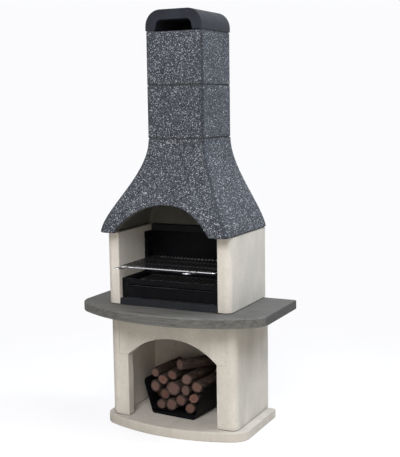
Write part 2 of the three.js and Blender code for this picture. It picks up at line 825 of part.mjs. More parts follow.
// Fire box: an open sheet box with front stiles and two shelves, and what sits in it
function addFireBox() {
  const outer = hearthInner - boxWallGap;
  const inner = outer - sheet;
  const stileEdge = outer - boxStileWidth;
  const front = atDepth(boxFrontDepth);
  const back = atDepth(boxBackDepth);
  const foot = hearthFloorTop;
  const top = foot + boxHeight;
  const shelfFoot = foot + boxShelfHeight;
  const shelfTop = shelfFoot + sheet;
  const hollow = block([-inner, front - overrun, foot + sheet], [inner, back - sheet, top + overrun]);
  const shell = without(block([-outer, front, foot], [outer, back, top]), hollow);
  const stile = block([stileEdge, front, foot], [outer, front + sheet, top]);
  const shelf = block([outer - boxShelfWidth, front, shelfFoot], [outer, back, shelfTop]);
  add(fireSet, 'ember_box', joined(shell, stile, mirrored(stile), shelf, mirrored(shelf)), blackSteel);

  const trayEdge = stileEdge - drawerGap;
  const trayInner = trayEdge - traySheet;
  const trayBack = back - sheet - drawerGap;
  const drawerFoot = foot + sheet + fit;
  const drawerTop = shelfFoot - drawerGap;
  const drawerHollowLow = [-trayInner, front + traySheet, drawerFoot + traySheet];
  const drawerHollow = block(drawerHollowLow, [trayInner, trayBack - traySheet, drawerTop + overrun]);
  const drawerBlock = block([-trayEdge, front, drawerFoot], [trayEdge, trayBack, drawerTop]);
  add(fireSet, 'ash_drawer', without(drawerBlock, drawerHollow), blackSteel);

  const grip = leftToRight(outline([
    [front, drawerTop - gripHeight, 0],
    [front, drawerTop, 0],
    [front - gripReach, drawerTop, 0],
    [front - gripReach, drawerTop - traySheet, 0],
    [front - traySheet, drawerTop - traySheet, 0],
    [front - traySheet, drawerTop - gripHeight, 0],
  ]), -trayEdge, trayEdge);
  add(fireSet, 'ash_drawer_grip', grip, blackSteel);

  const panFoot = shelfTop + fit;
  const panHollowLow = [-trayInner, front + traySheet, panFoot + traySheet];
  const panHollow = block(panHollowLow, [trayInner, trayBack - traySheet, top + overrun]);
  const panMiddle = (front + trayBack) / 2;
  const halfWidth = trayInner - emberGrateSideGap;
  const halfDepth = (trayBack - front) / 2 - traySheet - emberGrateEndGap;
  const panHole = block(
    [panRim - halfWidth, panMiddle - halfDepth + panRim, panFoot - overrun],
    [halfWidth - panRim, panMiddle + halfDepth - panRim, panFoot + overrun],
  );
  const pan = without(block([-trayEdge, front, panFoot], [trayEdge, trayBack, top]), panHollow, panHole);
  add(fireSet, 'charcoal_pan', pan, blackSteel);

  const grateFoot = panFoot + traySheet;
  const grateTop = grateFoot + emberGrateThickness;
  const slotReach = halfDepth - emberGrateBorder;
  const slotted = 2 * (halfWidth - emberGrateBorder) + emberBarWidth;
  const slotCount = Math.floor(slotted / emberSlotPitch);
  const pitch = slotted / slotCount;
  const slots = Array.from({ length: slotCount }, (_, slot) => {
    const left = emberGrateBorder - halfWidth + slot * pitch;
    const slotLow = [left, panMiddle - slotReach, grateFoot - overrun];
    return block(slotLow, [left + pitch - emberBarWidth, panMiddle + slotReach, grateTop + overrun]);
  });
  const grateLow = [-halfWidth, panMiddle - halfDepth, grateFoot];
  const emberGrate = without(block(grateLow, [halfWidth, panMiddle + halfDepth, grateTop]), ...slots);
  add(fireSet, 'ember_grate', emberGrate, castIron);
}

// Cooking grate: a frame of bent rod, bars welded to two ties, and two loop handles
function addCookingGrate() {
  const frontY = atDepth(grateFrontDepth) + grateRodRadius;
  const rearY = atDepth(grateBackDepth) - grateRodRadius;
  const side = grateWidth / 2 - grateRodRadius;
  const framePlan = outline([
    [-side, frontY, grateCornerRadius],
    [side, frontY, grateCornerRadius],
    [side, rearY, grateCornerRadius],
    [-side, rearY, grateCornerRadius],
  ]);
  add(cookingGrate, 'grate_frame', wireRing(framePlan, grateRodRadius, grateZ, 2, 8), chromedWire);

  const barZ = grateZ + grateRodRadius + fit + grateBarRadius;
  const tieZ = barZ - grateBarRadius - grateTieRadius + grateWeldDepth;
  const tieEnd = side - grateRodRadius - fit;
  const mat = [];
  const outerBar = Math.floor((tieEnd - grateBarRadius) / grateBarPitch);
  for (let bar = -outerBar; bar <= outerBar; bar += 1) {
    const x = bar * grateBarPitch;
    mat.push(barAlongY(grateBarRadius, x, barZ, frontY - grateBarOverhang, rearY + grateBarOverhang, 6));
  }
  for (let tie = 1; tie <= grateTieCount; tie += 1) {
    const y = THREE.MathUtils.lerp(frontY, rearY, tie / (grateTieCount + 1));
    mat.push(barAlongX(grateTieRadius, y, tieZ, -tieEnd, tieEnd, 6));
  }
  add(cookingGrate, 'grate_bars', joined(...mat), chromedWire);

  const half = handleWidth / 2;
  const startY = frontY - grateRodRadius - fit;
  const left = handleShares.map(([across, along]) => [-across, along]);
  const right = handleShares.slice(0, -1).reverse();
  const loopPoints = [...left, ...right].map(([across, along]) => (
    new THREE.Vector3(across * half, -along * handleReach, along ** 2 * handleRise)
  ));
  const options = { steps: 20, extrudePath: new THREE.CatmullRomCurve3(loopPoints), curveSegments: 4 };
  const section = new THREE.Shape().absarc(0, 0, handleRodRadius, 0, 2 * Math.PI, false);
  const loop = new THREE.ExtrudeGeometry(section, { ...options, bevelEnabled: false });
  const places = {
    grate_handle_left: handleLeftInset - grateWidth / 2,
    grate_handle_right: grateWidth / 2 - handleRightInset,
  };
  Object.entries(places).forEach(([name, x]) => {
    add(cookingGrate, name, loop, chromedWire).position.set(x, startY, grateZ);
  });
}

// Log basket: a folded trough with a raised floor and a front lip, and rounded ends to its sides
function addBasket() {
  const footHalf = basketFootWidth / 2;
  const topHalf = basketTopWidth / 2;
  const lean = (topHalf - footHalf) / basketHeight;
  const wallAcross = sheet * Math.hypot(1, lean);
  const end = basketLength / 2;
  const troughProfile = outline([
    [-topHalf, basketHeight, 0],
    [-footHalf, 0, basketFootRadius],
    [footHalf, 0, basketFootRadius],
    [topHalf, basketHeight, 0],
    [topHalf - wallAcross, basketHeight, 0],
    [footHalf + sheet * lean - wallAcross, sheet, basketFootRadius - sheet],
    [-footHalf - sheet * lean + wallAcross, sheet, basketFootRadius - sheet],
    [-topHalf + wallAcross, basketHeight, 0],
  ]);
  const outerAt = (z) => footHalf + z * lean;
  const middleAt = (z) => outerAt(z) - wallAcross / 2;
  const floorFoot = basketFloorHeight - sheet;
  const floorProfile = outline([
    [-middleAt(floorFoot), floorFoot, 0],
    [middleAt(floorFoot), floorFoot, 0],
    [middleAt(basketFloorHeight), basketFloorHeight, 0],
    [-middleAt(basketFloorHeight), basketFloorHeight, 0],
  ]);
  const lipProfile = outline([
    [-outerAt(basketFloorHeight), basketFloorHeight, 0],
    [-footHalf, 0, basketFootRadius],
    [footHalf, 0, basketFootRadius],
    [outerAt(basketFloorHeight), basketFloorHeight, 0],
  ]);
  const trough = frontToBack(troughProfile, -end, end, 3);
  const floor = frontToBack(floorProfile, -end, end);
  const lip = frontToBack(lipProfile, -end, -end + sheet, 3);
  const ends = leftToRight(outline([
    [-end, 0, 0],
    [end, 0, 0],
    [end, basketHeight, basketEndRadius],
    [-end, basketHeight, basketEndRadius],
  ]), -topHalf - overrun, topHalf + overrun);
  add(basket, 'log_basket', common(joined(trough, floor, lip), ends), blackSteel);
  addLogs(-end, lean, footHalf - wallAcross);
  basket.position.set(basketPlace, atDepth(baseBackThickness + basketBackGap + end), slabTop + fit);
  basket.rotation.z = basketTurn;
}

// The lowest height at which a log clears the floor, both flared sides and the logs below it
function restingHeight(x, radius, lean, floorHalf, laid) {
  const reach = radius + fit;
  const onSide = (Math.abs(x) - floorHalf + reach * Math.hypot(1, lean)) / lean;
  const onLogs = laid.map((log) => {
    const apart = reach + log.radius;
    const across = Math.abs(x - log.x);
    return across < apart ? log.z + Math.sqrt(apart ** 2 - across ** 2) : 0;
  });
  return Math.max(basketFloorHeight + reach, onSide, ...onLogs);
}

// A log by its middle, turned about the upright
function addLog(number, radius, length, turn, x, y, z) {
  const log = new THREE.CylinderGeometry(radius, radius, length, logSides);
  const mesh = add(basket, `log_${String(number).padStart(2, '0')}`, log, barkAndWood);
  mesh.position.set(x, y, z);
  mesh.rotation.z = turn;
}

function addLogs(basketFront, lean, floorHalf) {
  const laid = [];
  logShares.forEach(([radiusShare, placeShare, lengthShare, standOutShare], index) => {
    const radius = radiusShare * logRadius;
    const length = lengthShare * basketLength;
    const standOut = standOutShare * basketLength;
    let x = (placeShare * basketTopWidth) / 2;
    let step = radius * rollShare;
    while (step > radius * rollEndShare) {
      const here = restingHeight(x, radius, lean, floorHalf, laid);
      if (restingHeight(x - step, radius, lean, floorHalf, laid) < here) x -= step;
      else if (restingHeight(x + step, radius, lean, floorHalf, laid) < here) x += step;
      else step /= 2;
    }
    const z = restingHeight(x, radius, lean, floorHalf, laid);
    laid.push({ x, z, radius });
    addLog(index + 1, radius, length, 0, x, basketFront - standOut + length / 2, z);
  });
  const across = -Math.sin(topLogTurn) * topLogLength;
  const middleX = topLogPlace + across / 2;
  const halfReach = Math.abs(across) / 2 + topLogRadius;
  const carrying = laid.filter(({ x }) => Math.abs(x - middleX) < halfReach);
  const pileTop = Math.max(basketFloorHeight, ...carrying.map((log) => log.z + log.radius));
  const middleY = basketFront - topLogStandOut + Math.cos(topLogTurn) * topLogLength / 2;
  const restZ = pileTop + fit + topLogRadius;
  addLog(logShares.length + 1, topLogRadius, topLogLength, topLogTurn, middleX, middleY, restZ);
}

addSlabs();
addBase();
addHearth();
addFireback();
addHood();
addChimney();
addFireBox();
addCookingGrate();
addBasket();

export default barbecue;
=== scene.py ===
"""Looks of an outdoor masonry barbecue, made on the frame that its CAD model gives.

Lengths are in metres. The origin is on the ground under the worktop. +X is to the right of someone who
stands at the fire, -Y is the front and +Z is up.
"""
import json
import math

import bmesh
import bpy
from bpy.props import FloatProperty, FloatVectorProperty, IntProperty, PointerProperty
from mathutils import Matrix, Vector

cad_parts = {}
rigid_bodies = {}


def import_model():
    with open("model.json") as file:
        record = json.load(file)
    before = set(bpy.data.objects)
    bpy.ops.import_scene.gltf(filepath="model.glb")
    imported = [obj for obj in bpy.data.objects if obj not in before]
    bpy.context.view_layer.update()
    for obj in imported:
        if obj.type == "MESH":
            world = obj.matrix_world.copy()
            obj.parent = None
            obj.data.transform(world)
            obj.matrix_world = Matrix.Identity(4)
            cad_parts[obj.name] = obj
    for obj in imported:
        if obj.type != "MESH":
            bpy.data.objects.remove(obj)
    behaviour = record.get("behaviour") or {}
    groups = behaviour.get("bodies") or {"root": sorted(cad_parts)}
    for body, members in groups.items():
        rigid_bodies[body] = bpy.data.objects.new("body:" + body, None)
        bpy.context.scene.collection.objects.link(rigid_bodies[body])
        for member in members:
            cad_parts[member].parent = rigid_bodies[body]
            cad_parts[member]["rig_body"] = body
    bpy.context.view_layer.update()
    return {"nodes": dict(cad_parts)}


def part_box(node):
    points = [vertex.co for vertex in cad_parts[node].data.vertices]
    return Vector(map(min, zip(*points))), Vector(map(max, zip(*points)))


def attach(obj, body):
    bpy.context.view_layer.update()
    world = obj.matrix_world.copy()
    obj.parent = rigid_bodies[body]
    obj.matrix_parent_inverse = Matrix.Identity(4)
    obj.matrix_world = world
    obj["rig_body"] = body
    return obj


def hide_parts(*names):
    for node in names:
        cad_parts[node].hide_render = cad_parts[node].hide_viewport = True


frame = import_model()

bl_info = {
    "name": "Masonry barbecue looks",
    "version": (1, 0, 0),
    "blender": (4, 5, 0),
    "location": "View3D > Sidebar > Barbecue",
    "description": "Dresses the CAD frame of an outdoor masonry barbecue",
    "category": "Object",
}

# CAD nodes by the finish that they get
CREAM_CASTINGS = (
    "base_slab", "base_side_right", "base_side_left", "base_back", "base_arch",
    "hearth_wall_right", "hearth_wall_left", "hearth_back",
)
DARK_CASTINGS = ("hearth_floor", "fireback_lining")
CHIMNEY_SECTIONS = ("chimney_lower", "chimney_upper")
BEDS = (
    "bed_base", "bed_worktop", "bed_hearth", "bed_hood",
    "bed_chimney_lower", "bed_chimney_upper", "bed_cap",
)
SCREWS = tuple(f"carrier_screw_{row}_{side}" for row in ("top", "foot") for side in ("left", "right"))
FIRE_SET = (
    "heat_shield", "grate_carrier_right", "grate_carrier_left", "ember_box", "ash_drawer",
    "ash_drawer_grip", "charcoal_pan",
)
LOG_COUNT = 18


# Sizes and colours that a user changes

def length_property(name, description, default, soft_max=1.0):
    return FloatProperty(
        name=name, description=description, default=default, min=0.0, soft_max=soft_max,
        unit="LENGTH", subtype="DISTANCE", precision=4,
    )


def colour_property(name, description, default):
    return FloatVectorProperty(
        name=name, description=description, default=default, size=3, min=0.0, max=1.0, subtype="COLOR",
    )


def power_property(name, description, default):
    return FloatProperty(name=name, description=description, default=default, min=0.0, unit="POWER")


class MasonrySettings(bpy.types.PropertyGroup):
    """Sizes and colours of the cast pieces."""

    arris: length_property("Arris", "Rounding of the arrises of cast pieces", 0.0028, 0.01)
    cream: colour_property("Cream concrete", "Colour of the walls and the slab", (0.65, 0.605, 0.55))
    worktop: colour_property("Worktop", "Colour of the worktop", (0.105, 0.104, 0.098))
    refractory: colour_property("Refractory", "Colour of the hearth floor and lining", (0.02, 0.021, 0.025))
    adhesive: colour_property("Adhesive", "Colour of the joints", (0.11, 0.105, 0.1))


class HoodSettings(bpy.types.PropertyGroup):
    """Sizes and colours of the hood and the chimney."""

    voxel: length_property("Voxel", "Size of the cells that round the hood's arrises", 0.0048, 0.02)
    edge_band: length_property("Edge band", "Width of the smooth band round the mouth", 0.0035, 0.03)
    pebble_gap: length_property("Pebble distance", "Least distance of two standing pebbles", 0.0086, 0.05)
    pebble_size: length_property("Pebble size", "Radius of the largest pebbles", 0.0025, 0.01)
    pebble_rise: length_property("Pebble rise", "How far pebbles stand out of the cement", 0.001, 0.004)
    cement: colour_property("Cement", "Colour of the cement between the pebbles", (0.03, 0.034, 0.043))
    smooth: colour_property("Smooth cement", "Colour of smooth bands and the cap", (0.0175, 0.0195, 0.026))
    inside: colour_property("Inside", "Colour of the inside of the hood", (0.1, 0.098, 0.085))


class MetalSettings(bpy.types.PropertyGroup):
    """Sizes and colours of the sheet steel, the iron and the wire."""

    fold: length_property("Fold", "Rounding of the folds and edges of sheet steel", 0.0006, 0.003)
    wire_sides: IntProperty(name="Wire sides", description="Faces round a wire", default=12, min=6, max=32)
    steel: colour_property("Black steel", "Colour of the lacquered sheet steel", (0.0032, 0.0033, 0.0046))
    iron: colour_property("Cast iron", "Colour of the ember grate", (0.013, 0.0125, 0.0125))
    chrome: colour_property("Chrome", "Colour of the chromed wire", (0.72, 0.73, 0.75))


class WoodSettings(bpy.types.PropertyGroup):
    """Sizes and colours of the logs."""

    bark_depth: length_property("Bark depth", "Depth of the furrows in the bark", 0.0045, 0.01)
    taper: FloatProperty(
        name="Taper", description="Share by which a log is thinner at its far end", default=0.05,
        min=0, max=0.3, subtype="FACTOR",
    )
    seed: IntProperty(name="Seed", description="Seed of the first log", default=3, min=0)
    bark: colour_property("Bark", "Colour of the bark", (0.034, 0.0225, 0.0185))
    cut: colour_property("Cut wood", "Colour of the cut ends", (0.18, 0.092, 0.07))


class StageSettings(bpy.types.PropertyGroup):
    """Light, floor and background."""

    background: colour_property("Background", "Colour behind the barbecue", (0.965, 0.965, 0.982))
    sky: FloatProperty(name="Sky", description="Level of the light from all round", default=0.1, min=0)
    key: power_property("Key", "Power of the lamp in front, to the right", 210)
    side: power_property("Side", "Power of the high lamp on the right", 74)
    rear: power_property("Rear", "Power of the lamp behind, to the right", 155)
    low: power_property("Low", "Power of the low warm lamp in front", 33)
    back: power_property("Back", "Power of the lamp behind, to the left", 62)


class BarbecueSettings(bpy.types.PropertyGroup):
    """All sizes and colours of the barbecue."""

    masonry: PointerProperty(type=MasonrySettings)
    hood: PointerProperty(type=HoodSettings)
    metal: PointerProperty(type=MetalSettings)
    wood: PointerProperty(type=WoodSettings)
    stage: PointerProperty(type=StageSettings)


# Building node trees

def reckoned(operation, swapped=False):
    """A method that adds a math node for an operator of Python."""
    def method(value, other=None):
        pair = (other, value) if swapped else (value, other)
        return value.nodes.math(operation, *pair)

    return method


class Value:
    """An output of a node, which can be reckoned with. A new node stands for its first output."""

    def __init__(self, nodes, node, output=0):
        self.nodes = nodes
        self.node = node
        self.output = output

    def __getitem__(self, output):
        return Value(self.nodes, self.node, output)

    __add__ = reckoned("ADD")
    __sub__ = reckoned("SUBTRACT")
    __rsub__ = reckoned("SUBTRACT", swapped=True)
    __mul__ = reckoned("MULTIPLY")
    __truediv__ = reckoned("DIVIDE")
    __mod__ = reckoned("FLOORED_MODULO")
    __lt__ = reckoned("LESS_THAN")
    __gt__ = reckoned("GREATER_THAN")
    __abs__ = reckoned("ABSOLUTE")


class Nodes:
    """Adds nodes to a tree, sets their inputs, and links them."""

    def __init__(self, tree):
        self.tree = tree

    def put(self, socket, value):
        if isinstance(value, Value):
            self.tree.links.new(value.node.outputs[value.output], socket)
        elif value is not None:
            is_colour = socket.type == "RGBA" and len(value) == 3
            socket.default_value = (*value, 1.0) if is_colour else value

    def add(self, kind, inputs=(), **settings):
        node = self.tree.nodes.new(kind)
        for name, value in settings.items():
            setattr(node, name, value)
        for name, value in dict(inputs).items():
            self.put(node.inputs[name], value)
        return Value(self, node)

    def give(self, **results):
        """Ends a group with its results."""
        self.add("NodeGroupOutput", results)
        return self.tree

    def group(self, name, make, inputs=()):
        kind = self.tree.bl_idname.replace("Tree", "Group")
        return self.add(kind, inputs, node_tree=shared(name, make))

    def math(self, operation, first, second=None, third=None, clamp=False):
        inputs = {0: first, 1: second, 2: third}
        return self.add("ShaderNodeMath", inputs, operation=operation, use_clamp=clamp)

    def vector(self, operation, first, second=None, third=None):
        inputs = {0: first, 1: second, 2: third}
        return self.add("ShaderNodeVectorMath", inputs, operation=operation)

    def length(self, vector):
        return self.vector("LENGTH", vector)["Value"]

    def spread(self, value, low, high, to_low=0.0, to_high=1.0):
        inputs = {"Value": value, "From Min": low, "From Max": high, "To Min": to_low, "To Max": to_high}
        return self.add("ShaderNodeMapRange", inputs)

    def blend(self, share, first, second):
        return self.add("ShaderNodeMix", {0: share, 6: first, 7: second}, data_type="RGBA")[2]

    def shades(self, share, colour, first, second):
        """A tone between two tints of one colour."""
        return self.blend(share, tinted(colour, first), tinted(colour, second))

    def lerp(self, share, first, second):
        return self.add("ShaderNodeMix", {0: share, 2: first, 3: second}, data_type="FLOAT")

    def ramp(self, share, stops):
        ramp = self.add("ShaderNodeValToRGB", {"Fac": share})
        elements = ramp.node.color_ramp.elements
        while len(elements) < len(stops):
            elements.new(0.5)
        for element, (place, colour) in zip(elements, stops):
            element.position = place
            element.color = (*colour, 1.0)
        return ramp

    def noise(self, vector, scale, detail=4.0, roughness=0.55, distortion=0.0):
        return self.add("ShaderNodeTexNoise", {
            "Vector": vector, "Scale": scale, "Detail": detail, "Roughness": roughness,
            "Distortion": distortion,
        })

    def split(self, vector):
        parts = self.add("ShaderNodeSeparateXYZ", {"Vector": vector})
        return parts[0], parts[1], parts[2]

    def combine(self, x, y, z):
        return self.add("ShaderNodeCombineXYZ", {"X": x, "Y": y, "Z": z})


def tinted(colour, share):
    return tuple(min(1.0, channel * share) for channel in colour)


def shared(name, make):
    """The node group of this name, made the first time it is asked for."""
    return bpy.data.node_groups.get(name) or make(name)


SOCKET_OF_DEFAULT = {float: "Float", int: "Int", tuple: "Vector"}


def new_tree(name, kind, inputs, outputs, output_socket):
    """The helper and the inputs of a new tree. An input has a default, or a kind of socket without one."""
    tree = bpy.data.node_groups.new(name, kind)
    for label, default in inputs.items():
        socket = SOCKET_OF_DEFAULT.get(type(default), default)
        made = tree.interface.new_socket(label, in_out="INPUT", socket_type=f"NodeSocket{socket}")
        if socket != default:
            made.default_value = default
        if socket == "Float" and kind == "GeometryNodeTree":
            made.subtype = "DISTANCE"
    for label in outputs:
        tree.interface.new_socket(label, in_out="OUTPUT", socket_type=f"NodeSocket{output_socket}")
    nodes = Nodes(tree)
    return nodes, nodes.add("NodeGroupInput")


def effect_tree(name, inputs, *outputs):
    return new_tree(name, "ShaderNodeTree", {"Vector": "Vector", **inputs}, outputs, "Float")


def shape_tree(name, inputs):
    return new_tree(name, "GeometryNodeTree", inputs, ("Mesh",), "Geometry")


# Effects that several finishes share

def make_mottling(name):
    """Soft uneven tone, as cement has from the mould and the weather."""
    nodes, given = effect_tree(name, {"Scale": 6.0, "Fine Scale": 60.0}, "Tone")
    coarse = nodes.noise(given["Vector"], given["Scale"], 3.0)
    fine = nodes.noise(given["Vector"], given["Fine Scale"], 5.0, 0.65)
    both = nodes.math("MULTIPLY_ADD", fine, 0.45, coarse * 0.55)
    return nodes.give(Tone=nodes.spread(both, 0.34, 0.66))


def make_pores(name):
    """Small round air holes of cast cement: 1 in a hole, 0 between the holes. Finishes darken the holes as
    painted shade.
    """
    nodes, given = effect_tree(name, {"Scale": 120.0, "Share": 0.2}, "Hole")
    cells = nodes.add("ShaderNodeTexVoronoi", {"Vector": given["Vector"], "Scale": given["Scale"]})
    chance = nodes.split(cells["Color"])[0]
    size = nodes.spread(chance, 0.0, given["Share"], 0.34, 0.0)
    return nodes.give(Hole=nodes.spread(size - cells["Distance"], 0.0, 0.08))


def make_aggregate(name):
    """Close-set stones in cement: a tone for each stone, where the stones are, and their height."""
    nodes, given = effect_tree(name, {"Scale": 150.0, "Joint": 0.1}, "Tone", "Stone", "Height")
    wander = nodes.noise(given["Vector"], 40.0, 2.0)
    place = nodes.vector("MULTIPLY_ADD", wander, (0.004, 0.004, 0.004), given["Vector"])
    inputs = {"Vector": place, "Scale": given["Scale"]}
    tone = nodes.split(nodes.add("ShaderNodeTexVoronoi", inputs)["Color"])[0]
    off_edge = nodes.add("ShaderNodeTexVoronoi", inputs, feature="DISTANCE_TO_EDGE")["Distance"]
    stone = nodes.spread(off_edge, given["Joint"], given["Joint"] + 0.06)
    return nodes.give(Tone=tone, Stone=stone, Height=nodes.spread(off_edge, 0.0, 0.35))


def make_streaks(name):
    """Fine long streaks along X, as a rubbed or sawn stone face has."""
    nodes, given = effect_tree(name, {"Scale": 90.0, "Stretch": 0.05}, "Streak")
    x, y, z = nodes.split(given["Vector"])
    drawn = nodes.combine(x * given["Stretch"], y, z)
    return nodes.give(Streak=nodes.spread(nodes.noise(drawn, given["Scale"], 6.0, 0.7), 0.32, 0.68))


def make_scuffs(name):
    """Thin dust and light scuffs on lacquer: 1 where the surface is dusty."""
    nodes, given = effect_tree(name, {"Scale": 18.0, "Amount": 0.5}, "Dust")
    patches = nodes.spread(nodes.noise(given["Vector"], given["Scale"], 6.0, 0.7), 0.4, 0.75)
    x, y, z = nodes.split(given["Vector"])
    lines = nodes.spread(nodes.noise(nodes.combine(x, y * 0.2, z * 0.2), 400.0, 3.0), 0.58, 0.78)
    both = nodes.math("MAXIMUM", patches, lines * 0.6)
    return nodes.give(Dust=nodes.math("MULTIPLY", both, given["Amount"], clamp=True))


class MaterialNodes(Nodes):
    """The tree of a new material with its shader, and the shared effects at the material's place."""

    def __init__(self, name, place=None, roughness=0.6, metallic=0.0, specular=0.5):
        self.material = bpy.data.materials.new(name)
        self.material.use_nodes = True
        self.material.node_tree.nodes.clear()
        super().__init__(self.material.node_tree)
        self.shader = self.add("ShaderNodeBsdfPrincipled", {
            "Roughness": roughness, "Metallic": metallic, "Specular IOR Level": specular,
        })
        self.result = self.add("ShaderNodeOutputMaterial", {"Surface": self.shader})
        self.place = self.attribute(place, "Vector") if place else self.coordinate("Object")

    def attribute(self, name, output="Fac"):
        return self.add("ShaderNodeAttribute", attribute_name=name)[output]

    def coordinate(self, output):
        return self.add("ShaderNodeTexCoord")[output]

    def mottling(self, scale, fine_scale):
        return self.group("Mottling", make_mottling, {0: self.place, 1: scale, 2: fine_scale})

    def pores(self, scale, share):
        return self.group("Pores", make_pores, {0: self.place, 1: scale, 2: share})

    def aggregate(self, place, scale, joint):
        return self.group("Aggregate", make_aggregate, {0: place, 1: scale, 2: joint})

    def streaks(self, scale, stretch):
        return self.group("Streaks", make_streaks, {0: self.place, 1: scale, 2: stretch})

    def scuffs(self, scale, amount):
        return self.group("Scuffs", make_scuffs, {0: self.place, 1: scale, 2: amount})

    def finished(self, colour, roughness, height, depth, strength):
        """The material, once its shader has a colour, a roughness and a bump of this depth."""
        bump = self.add("ShaderNodeBump", {"Strength": strength, "Distance": depth, "Height": height})
        sockets = self.shader.node.inputs
        for label, value in (("Base Color", colour), ("Roughness", roughness), ("Normal", bump)):
            self.put(sockets[label], value)
        return self.material


# Finishes

STAINED_CREAM = (0.5, 0.475, 0.43)
# Darker cream for the damp at the ground, and for the painted shade under the worktop
DAMP_AND_SHADED_CREAM = (0.34, 0.31, 0.265)
# Greyer cream for the inner faces of the fire walls
GREYED_CREAM = (0.3, 0.32, 0.335)
# Heights from which and to which the painted shade under the worktop grows, and the inner faces of the fire
# walls grow greyer
PAINTED_SHADE_FROM, PAINTED_SHADE_TO = 0.2, 0.58
FIRE_GREY_FROM, FIRE_GREY_TO = 0.64, 1.05


def make_cream(settings):
    """Smooth cast cream concrete with blotches and air holes, damp low down, with painted shade under the
    worktop and greyer high up beside the fire.
    """
    nodes = MaterialNodes("cast_cream", specular=0.3)
    cream = settings.masonry.cream
    tone = nodes.mottling(scale=5.0, fine_scale=70.0)
    hole = nodes.pores(scale=75.0, share=0.16)
    sand = nodes.noise(nodes.place, 900.0, 2.0)
    x, y, z = nodes.split(nodes.place)
    run = nodes.combine(x, y, z * 0.3)
    stain = nodes.spread(nodes.noise(run, 9.0, 5.0, 0.6), 0.42, 0.72, 0.0, 0.75)
    colour = nodes.blend(stain, nodes.shades(tone, cream, 0.86, 1.1), STAINED_CREAM)
    patch = nodes.spread(nodes.noise(run, 6.0, 4.0, 0.6), 0.3, 0.65, 0.35, 1.0)
    wall_front, wall_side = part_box("base_side_right")[0].y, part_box("base_side_right")[1].x
    slab_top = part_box("base_slab")[1].z
    # Painted shade under the worktop: darker towards its underside, most on the outer sides and less on the
    # front
    in_front = (y < wall_front + 0.02) * 0.38
    outside = nodes.spread(abs(x), wall_side - 0.01, wall_side - 0.003, in_front, 0.85)
    painted_worktop_shade = nodes.spread(z, PAINTED_SHADE_FROM, PAINTED_SHADE_TO) * (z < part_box("worktop")[0].z) * outside
    # Damp darkens the slab and the foot of the walls
    on_ground = nodes.spread(z, slab_top + 0.02, slab_top, 0.0, 0.35)
    colour = nodes.blend(patch * (painted_worktop_shade + on_ground), colour, DAMP_AND_SHADED_CREAM)
    # The inner faces of the fire walls grow greyer and darker towards the top
    by_fire = abs(x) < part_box("hearth_wall_right")[0].x + 0.004
    fire_wall_grey = patch * by_fire * nodes.spread(z, FIRE_GREY_FROM, FIRE_GREY_TO, 0.0, 0.45)
    colour = nodes.blend(fire_wall_grey, colour, GREYED_CREAM)
    colour = nodes.blend(nodes.spread(sand, 0.3, 0.7, 0.0, 0.12), colour, tinted(cream, 0.72))
    # Air holes painted darker, as painted shade in them
    colour = nodes.blend(hole * 0.5, colour, tinted(cream, 0.45))
    roughness = nodes.spread(tone, 0.0, 1.0, 0.78, 0.9)
    return nodes.finished(colour, roughness, sand * 0.25 - hole, 0.0007, 0.7)


def make_stone_top(settings):
    """Grey cast stone with long streaks on its rubbed top, arrises painted lighter as wear and as a
    highlight, and painted shade on its ends.
    """
    nodes = MaterialNodes("rubbed_stone", specular=0.25)
    base = settings.masonry.worktop
    streak = nodes.streaks(scale=95.0, stretch=0.04)
    tone = nodes.mottling(scale=9.0, fine_scale=160.0)
    hole = nodes.pores(scale=110.0, share=0.22)
    colour = nodes.blend(0.3, nodes.shades(streak, base, 0.4, 1.7), nodes.shades(tone, base, 0.78, 1.25))
    # Air holes painted darker, as painted shade in them
    colour = nodes.blend(hole * 0.55, colour, tinted(base, 0.4))
    # Arrises painted lighter: partly wear, partly a painted highlight along the edge
    worn = nodes.attribute("worn") * nodes.spread(tone, 0.1, 0.7, 0.2, 0.9)
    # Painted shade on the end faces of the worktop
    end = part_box("worktop")[1].x
    painted_end_shade = nodes.spread(abs(nodes.split(nodes.place)[0]), end - 0.007, end - 0.001, 0.0, 0.7)
    colour = nodes.blend(painted_end_shade, nodes.blend(worn, colour, tinted(base, 1.9)), tinted(base, 0.45))
    roughness = nodes.spread(streak, 0.0, 1.0, 0.62, 0.82)
    return nodes.finished(colour, roughness, streak * 0.5 - hole, 0.0006, 0.6)


def make_refractory(settings):
    """Dark fire-proof casting, a little chalky."""
    nodes = MaterialNodes("fireproof_casting", specular=0.15)
    base = settings.masonry.refractory
    tone = nodes.mottling(scale=12.0, fine_scale=140.0)
    hole = nodes.pores(scale=90.0, share=0.3)
    # Air holes painted darker, as painted shade in them
    colour = nodes.blend(hole, nodes.shades(tone, base, 0.7, 1.4), tinted(base, 0.4))
    roughness = nodes.spread(tone, 0.0, 1.0, 0.75, 0.92)
    return nodes.finished(colour, roughness, tone * 0.5 - hole, 0.0008, 0.7)


def make_adhesive(settings):
    """Trowelled adhesive in the joints, sandy and uneven."""
    nodes = MaterialNodes("joint_mortar", specular=0.25)
    tone = nodes.mottling(scale=30.0, fine_scale=400.0)
    colour = nodes.shades(tone, settings.masonry.adhesive, 0.7, 1.2)
    return nodes.finished(colour, nodes.spread(tone, 0.0, 1.0, 0.82, 0.95), tone, 0.0008, 0.8)


def make_slate(settings):
    """Smooth slate-grey cement of the cap."""
    nodes = MaterialNodes("slate_cement", specular=0.15)
    base = settings.hood.smooth
    tone = nodes.mottling(scale=14.0, fine_scale=120.0)
    hole = nodes.pores(scale=130.0, share=0.25)
    # Air holes painted darker, as painted shade in them
    colour = nodes.blend(hole * 0.7, nodes.shades(tone, base, 0.8, 1.3), tinted(base, 0.4))
    roughness = nodes.spread(tone, 0.0, 1.0, 0.42, 0.6)
    return nodes.finished(colour, roughness, tone * 0.3 - hole, 0.0005, 0.6)


